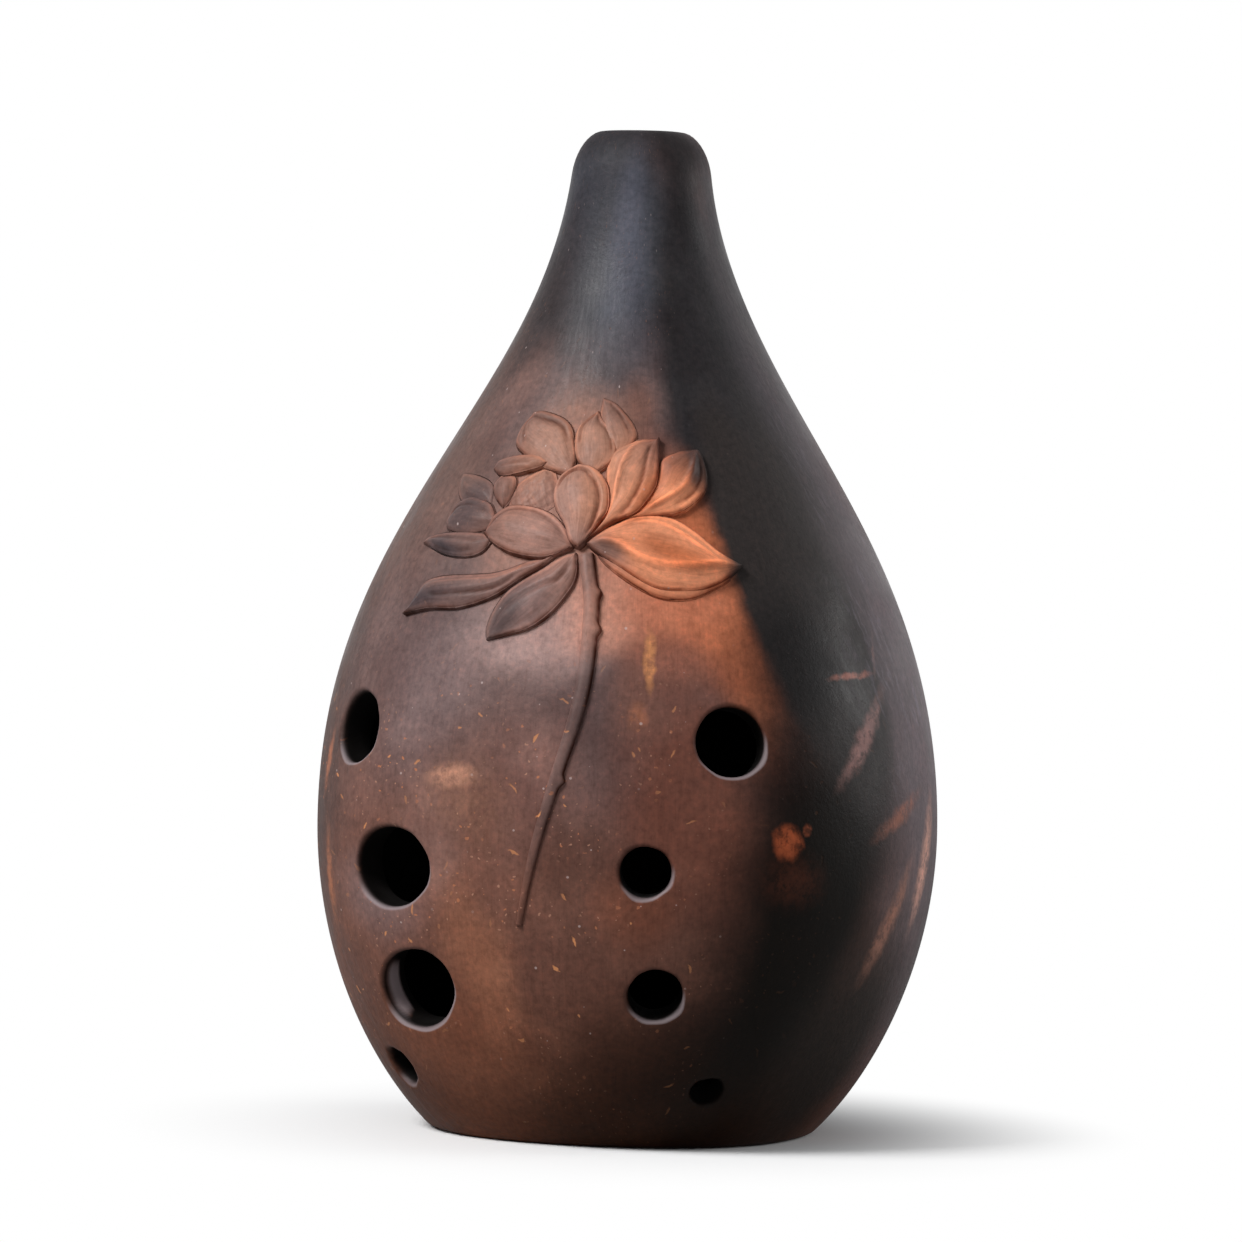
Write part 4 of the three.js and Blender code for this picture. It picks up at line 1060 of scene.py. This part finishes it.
def petalPiece(name, petal):
    left, right = (evenly(edge, outlineSteps)[0] for edge in petalEdges(petal))
    length = (lengthsAlong(left)[-1] + lengthsAlong(right)[-1]) / 2
    widest = np.linalg.norm(left - right, axis=1).max()
    longSteps = max(24, round(length / flower["cell"]))
    acrossSteps = max(12, round(widest / flower["cell"]))
    stations = 0.5 - 0.5 * np.cos(np.linspace(0.09, math.pi - 0.09, longSteps + 1))
    stations = 0.45 * stations + 0.55 * np.linspace(0.012, 0.988, longSteps + 1)
    across = np.sin(np.linspace(-1, 1, acrossSteps + 1) * math.pi / 2) * 0.5
    across = across + np.linspace(-0.5, 0.5, acrossSteps + 1)
    outlineShares = np.linspace(0, 1, outlineSteps + 1)

    def spot(station, over):
        onRight, onLeft = (np.stack([np.interp(station, outlineShares, column) for column in edge.T], -1)
                           for edge in (right, left))
        share = (np.asarray(over)[..., None] + 1) / 2
        return onRight * (1 - share) + onLeft * share

    alongGrid, overGrid = np.meshgrid(stations, across, indexing="ij")
    spots = spot(alongGrid, overGrid)
    outline = np.concatenate([right, left[::-1]])[::2]
    inward = distanceTo(spots, outline)[0]
    lift = petal["edge"] + petal["crown"] * (1 - np.exp(-(inward / petal["crownWidth"]) ** 2))
    nudge = 0.05
    nearer = [inward - distanceTo(spots + way, outline)[0] for way in np.eye(2) * nudge]
    outwardWay = np.stack(nearer, -1) / nudge
    # painted shade along the outline, stronger and wider on the lower edges away from the light; just inside
    # it a paler band, partly wear and partly painted highlight on the edges that face the light
    below = smooth(outwardWay @ flower["shadedEdgesTo"], -0.3, 0.5)
    creaseShadow = (0.25 + 0.65 * below) * np.exp(-(inward / (0.2 + 0.2 * below)) ** 2)
    ridge = (0.7 - 0.45 * below) * np.exp(-((inward - 0.3) / 0.28) ** 2)
    for line, width, height in petal["lines"]:
        line = np.array(line, float)
        gap, where = distanceTo(spots, evenly(spline(spot(line[:, 0], line[:, 1])), 40)[0])
        fade = smooth(where, -0.02, 0.12) * (1 - smooth(where, 0.86, 1.02))
        lift = lift + height * np.exp(-(gap / width) ** 2) * fade
        # grooves get painted shade; raised lines get a paler line, partly wear and partly painted highlight
        if height < 0:
            creaseShadow = np.maximum(creaseShadow, 0.8 * np.exp(-(gap / (width * 0.85)) ** 2) * fade)
        else:
            ridge = np.maximum(ridge, np.exp(-(gap / (width * 0.7)) ** 2) * fade)
    if "seeds" in petal:
        x, y = spots[..., 0], spots[..., 1]
        pits = np.sin(x * 4.1 + 1.3 * np.sin(y * 2.7)) * np.sin(y * 4.6 + x)
        lift = lift + petal["seeds"] * pits * smooth(inward, 0.2, 0.9)
        # painted shade in the seed pits
        creaseShadow = np.maximum(creaseShadow, 0.6 * smooth(-pits, 0.3, 0.9))
    leftMelt, rightMelt = petal["melt"]
    melt = rightMelt + (leftMelt - rightMelt) * smooth(overGrid, -0.4, 0.4)
    lumps = drift(onFlower(spots, 0 * lift).reshape(-1, 3) * 2.4, 1.1)
    lift = lift + flower["lumps"] * lumps.reshape(lift.shape)
    lift = lift * (1 - melt * (1 - smooth(inward, -0.1, 1.8)))
    creaseShadow = creaseShadow * (1 - melt)
    lift = lift - flower["edgeRound"] * np.exp(-inward / 0.16) * (1 - melt)

    clay = Clay(*reliefValues)
    alongs, overs = alongGrid * length, overGrid * widest / 2
    grid = [clay.ring(*row) for row in zip(onFlower(spots, lift), creaseShadow, ridge, alongs, overs)]
    for near, beyond in zip(grid, grid[1:]):
        for k in range(acrossSteps):
            clay.face(near[k], near[k + 1], beyond[k + 1], beyond[k])

    # the outline's own ring, then its wall down into the ground
    ring = ([(i, 0) for i in range(longSteps)] + [(longSteps, k) for k in range(acrossSteps)]
            + [(i, acrossSteps) for i in range(longSteps, 0, -1)]
            + [(0, k) for k in range(acrossSteps, 0, -1)])
    ringRows, ringColumns = np.array(ring).T
    ringSpots, ringLift, ringMelt, ringAlong, ringOver = (
        values[ringRows, ringColumns] for values in (spots, lift, melt, alongs, overs))
    run = np.roll(ringSpots, -1, 0) - np.roll(ringSpots, 1, 0)
    outward = np.stack([run[:, 1], -run[:, 0]], 1)
    outward /= np.maximum(np.linalg.norm(outward, axis=1, keepdims=True), 1e-9)
    beyond = np.roll(ringSpots, -1, 0)
    if np.sum(ringSpots[:, 0] * beyond[:, 1] - ringSpots[:, 1] * beyond[:, 0]) <= 0:
        outward *= -1
    # painted shade on the wall down into the ground, most on the lower side, away from the light
    under = 0.3 + 0.7 * smooth(outward @ flower["shadedEdgesTo"], -0.5, 0.4)
    last = [grid[i][k] for i, k in ring]
    for out, drop in flower["skirt"]:
        level = ringLift - (ringLift + flower["sunk"]) * drop
        places = onFlower(ringSpots + outward * out * (1 + ringMelt)[:, None], level)
        dark = (1 - ringMelt) * under * (1 if drop > 0.2 else 0.8)
        now = clay.ring(places, dark, 0 * dark, ringAlong, ringOver)
        for k in range(len(ring)):
            following = (k + 1) % len(ring)
            clay.face(last[k], now[k], now[following], last[following])
        last = now
    middle = onFlower(ringSpots.mean(0)[None], np.array([-flower["sunk"]]))[0]
    centre = clay.point(middle, 1.0, 0.0, 0.0, 0.0)
    for k in range(len(ring)):
        clay.face(last[k], centre, last[(k + 1) % len(ring)])

    # turned so that the top faces out
    a, b, c = (np.array(clay.points[k]) for k in clay.faces[len(clay.faces) // 3][:3])
    if np.dot(np.cross(b - a, c - a), a * [1, 1, 0]) < 0:
        clay.faces = [face[::-1] for face in clay.faces]
    first, *others = name.split("_")
    label = first + "".join(word.capitalize() for word in others) + "Relief"
    addPiece(label, clay, petalClay, name, "orange_clay" if name in orangePetals else "brown_clay")


for name, petal in petals.items():
    petalPiece(name, petal)
print("lotus petals made")

stem = {
    "line": [(0.013, -0.035), (0.036, -0.2), (0.04, -0.3), (0.037, -0.5), (0.02, -0.68), (-0.019, -0.93),
             (-0.06, -1.2), (-0.1, -1.52)],
    "width": 2.1, "tipWidth": 0.7, "taper": 1.3, "thickness": 1.2, "thorns": (-0.19, -0.33, -0.93),
    "thornReach": 0.5, "thornLength": 1.4, "rows": 12, "cell": 0.3, "foot": 0.1,
}


def stemPiece():
    line = spline(np.array(stem["line"]) * flowerScale)
    steps = round(lengthsAlong(line)[-1] / stem["cell"])
    line = evenly(line, steps)[0]
    share = np.linspace(0, 1, steps + 1)
    run = np.gradient(line, axis=0)
    run /= np.linalg.norm(run, axis=1, keepdims=True)
    right = np.stack([-run[:, 1], run[:, 0]], 1)
    half = (stem["width"] + (stem["tipWidth"] - stem["width"]) * share ** stem["taper"]) / 2
    away = [(line[:, 1] - up * flower["tall"]) * 2 / stem["thornLength"] for up in stem["thorns"]]
    thorn = sum(stem["thornReach"] * np.exp(-far ** 2) for far in away)
    turns = np.linspace(math.pi, 0, stem["rows"] + 1)
    over = np.cos(turns)
    width = stem["rows"] + 3
    clay = Clay(*reliefValues)
    grid = []
    for k in range(steps + 1):
        out = half[k] + thorn[k] * (over > 0)
        crown = stem["thickness"] * half[k] / half[0] * (0.35 + 0.65 * np.sin(turns))
        spots = line[k] + right[k] * over[:, None] * out[:, None]
        foot = right[k] * stem["foot"]
        spots = np.array([spots[0] - foot, *spots, spots[-1] + foot])
        fade = 1 - smooth(share[k], 0.6, 1)
        # painted shade down the stem's right side, away from the light, and a painted highlight on its left
        # edge
        creaseShadows = [0.3 * fade] + [0.0] * (stem["rows"] - 3) + [0.2 * fade, 0.6 * fade] + [fade] * 3
        ridgeHighlights = [fade, 0.9 * fade, 0.5 * fade] + [0.0] * (width - 3)
        places = onFlower(spots, np.array([-flower["sunk"], *crown, -flower["sunk"]]))
        overs = np.linspace(-half[k], half[k], width)
        grid.append(clay.ring(places, creaseShadows, ridgeHighlights, [k * stem["cell"]] * width, overs))
    for near, beyond in zip(grid, grid[1:]):
        for k in range(width - 1):
            clay.face(near[k], beyond[k], beyond[k + 1], near[k + 1])
        clay.face(near[-1], beyond[-1], beyond[0], near[0])
    clay.face(*grid[0])
    clay.face(*reversed(grid[-1]))
    addPiece("lotusStem", clay, petalClay, "stem", "brown_clay")


stemPiece()
print("stem made")


# Floor, light and background. Lamps: place in metres, size and power
studio = {
    "lamps": {
        "keyLamp": ((-0.62, -0.84, 1.08), 0.55, 22.0),
        "fillLamp": ((0.8, -1.1, 0.35), 0.7, 2.0),
        "rimLamp": ((0.85, 0.5, 0.35), 0.4, 3.0),
    },
    "aimHeight": 0.07, "ambient": 0.14, "ambientTint": (0.92, 0.95, 1.0, 1), "roomShare": 0.1,
    "backdrop": (-0.1, 0.75), "floorPale": 0.98, "floorBounce": 0.4, "floorReach": 6, "floorDrop": 0.0001,
    "whiteFrom": (0.028, 0.08),
}
white = (1, 1, 1, 1)


# What the camera sees itself, and what it sees mirrored
def seenAndMirrored(recipe):
    seen = recipe.node("LightPath", out="Is Camera Ray")
    return seen, seen.other("Is Glossy Ray").atLeast(seen.other("Is Transmission Ray"))


def addFloor():
    mesh = bpy.data.meshes.new("floor")
    reach = studio["floorReach"]
    mesh.from_pydata([(-reach, -reach, 0), (reach, -reach, 0), (reach, reach, 0), (-reach, reach, 0)], [],
                     [(0, 1, 2, 3)])
    floor = bpy.data.objects.new("floor", mesh)
    floor.location.z = -studio["floorDrop"]
    bpy.context.scene.collection.objects.link(floor)
    recipe = Recipe("paleFloor")
    far = recipe.vector("LENGTH", recipe.node("TexCoord", out="Object"), out="Value")
    seen, mirrored = seenAndMirrored(recipe)
    pale = recipe.mix(seen, (studio["floorBounce"],) * 3 + (1,), (studio["floorPale"],) * 3 + (1,))
    matte = recipe.node("BsdfDiffuse", {}, {"Color": pale})
    glow = recipe.node("Emission", {}, {"Color": white, "Strength": 1.0})
    shown = seen.atLeast(mirrored * studio["roomShare"]) * far.step(*studio["whiteFrom"])
    blend = recipe.node("MixShader", {}, {0: shown, 1: matte, 2: glow})
    recipe.node("OutputMaterial", {}, {"Surface": blend})
    mesh.materials.append(recipe.material)


def addLamps():
    for name, (where, size, power) in studio["lamps"].items():
        lamp = bpy.data.lights.new(name, "AREA")
        lamp.shape = "SQUARE"
        lamp.size = size
        lamp.energy = power
        holder = bpy.data.objects.new(name, lamp)
        holder.location = where
        toObject = Vector((0, 0, studio["aimHeight"])) - Vector(where)
        holder.rotation_euler = toObject.to_track_quat("-Z", "Y").to_euler()
        bpy.context.scene.collection.objects.link(holder)


# White to the camera, with the white backdrop behind the xun for reflections and a dim room before it
def addRoom():
    world = Recipe("studio", world=True)
    bpy.context.scene.world = world.material
    seen, mirrored = seenAndMirrored(world)
    ahead = world.split(world.node("TexCoord", out="Generated"), "Y")
    backdrop = ahead.step(*studio["backdrop"], studio["roomShare"], 1.0)
    soft = world.node("Background", {}, {"Color": studio["ambientTint"], "Strength": studio["ambient"]})
    shown = world.node("Background", {}, {"Color": white, "Strength": seen.atLeast(mirrored * backdrop)})
    blend = world.node("MixShader", {}, {0: seen.atLeast(mirrored), 1: soft, 2: shown})
    world.node("OutputWorld", {}, {"Surface": blend})


addFloor()
addLamps()
addRoom()
bpy.context.scene.view_settings.view_transform = "Standard"
print("studio set")
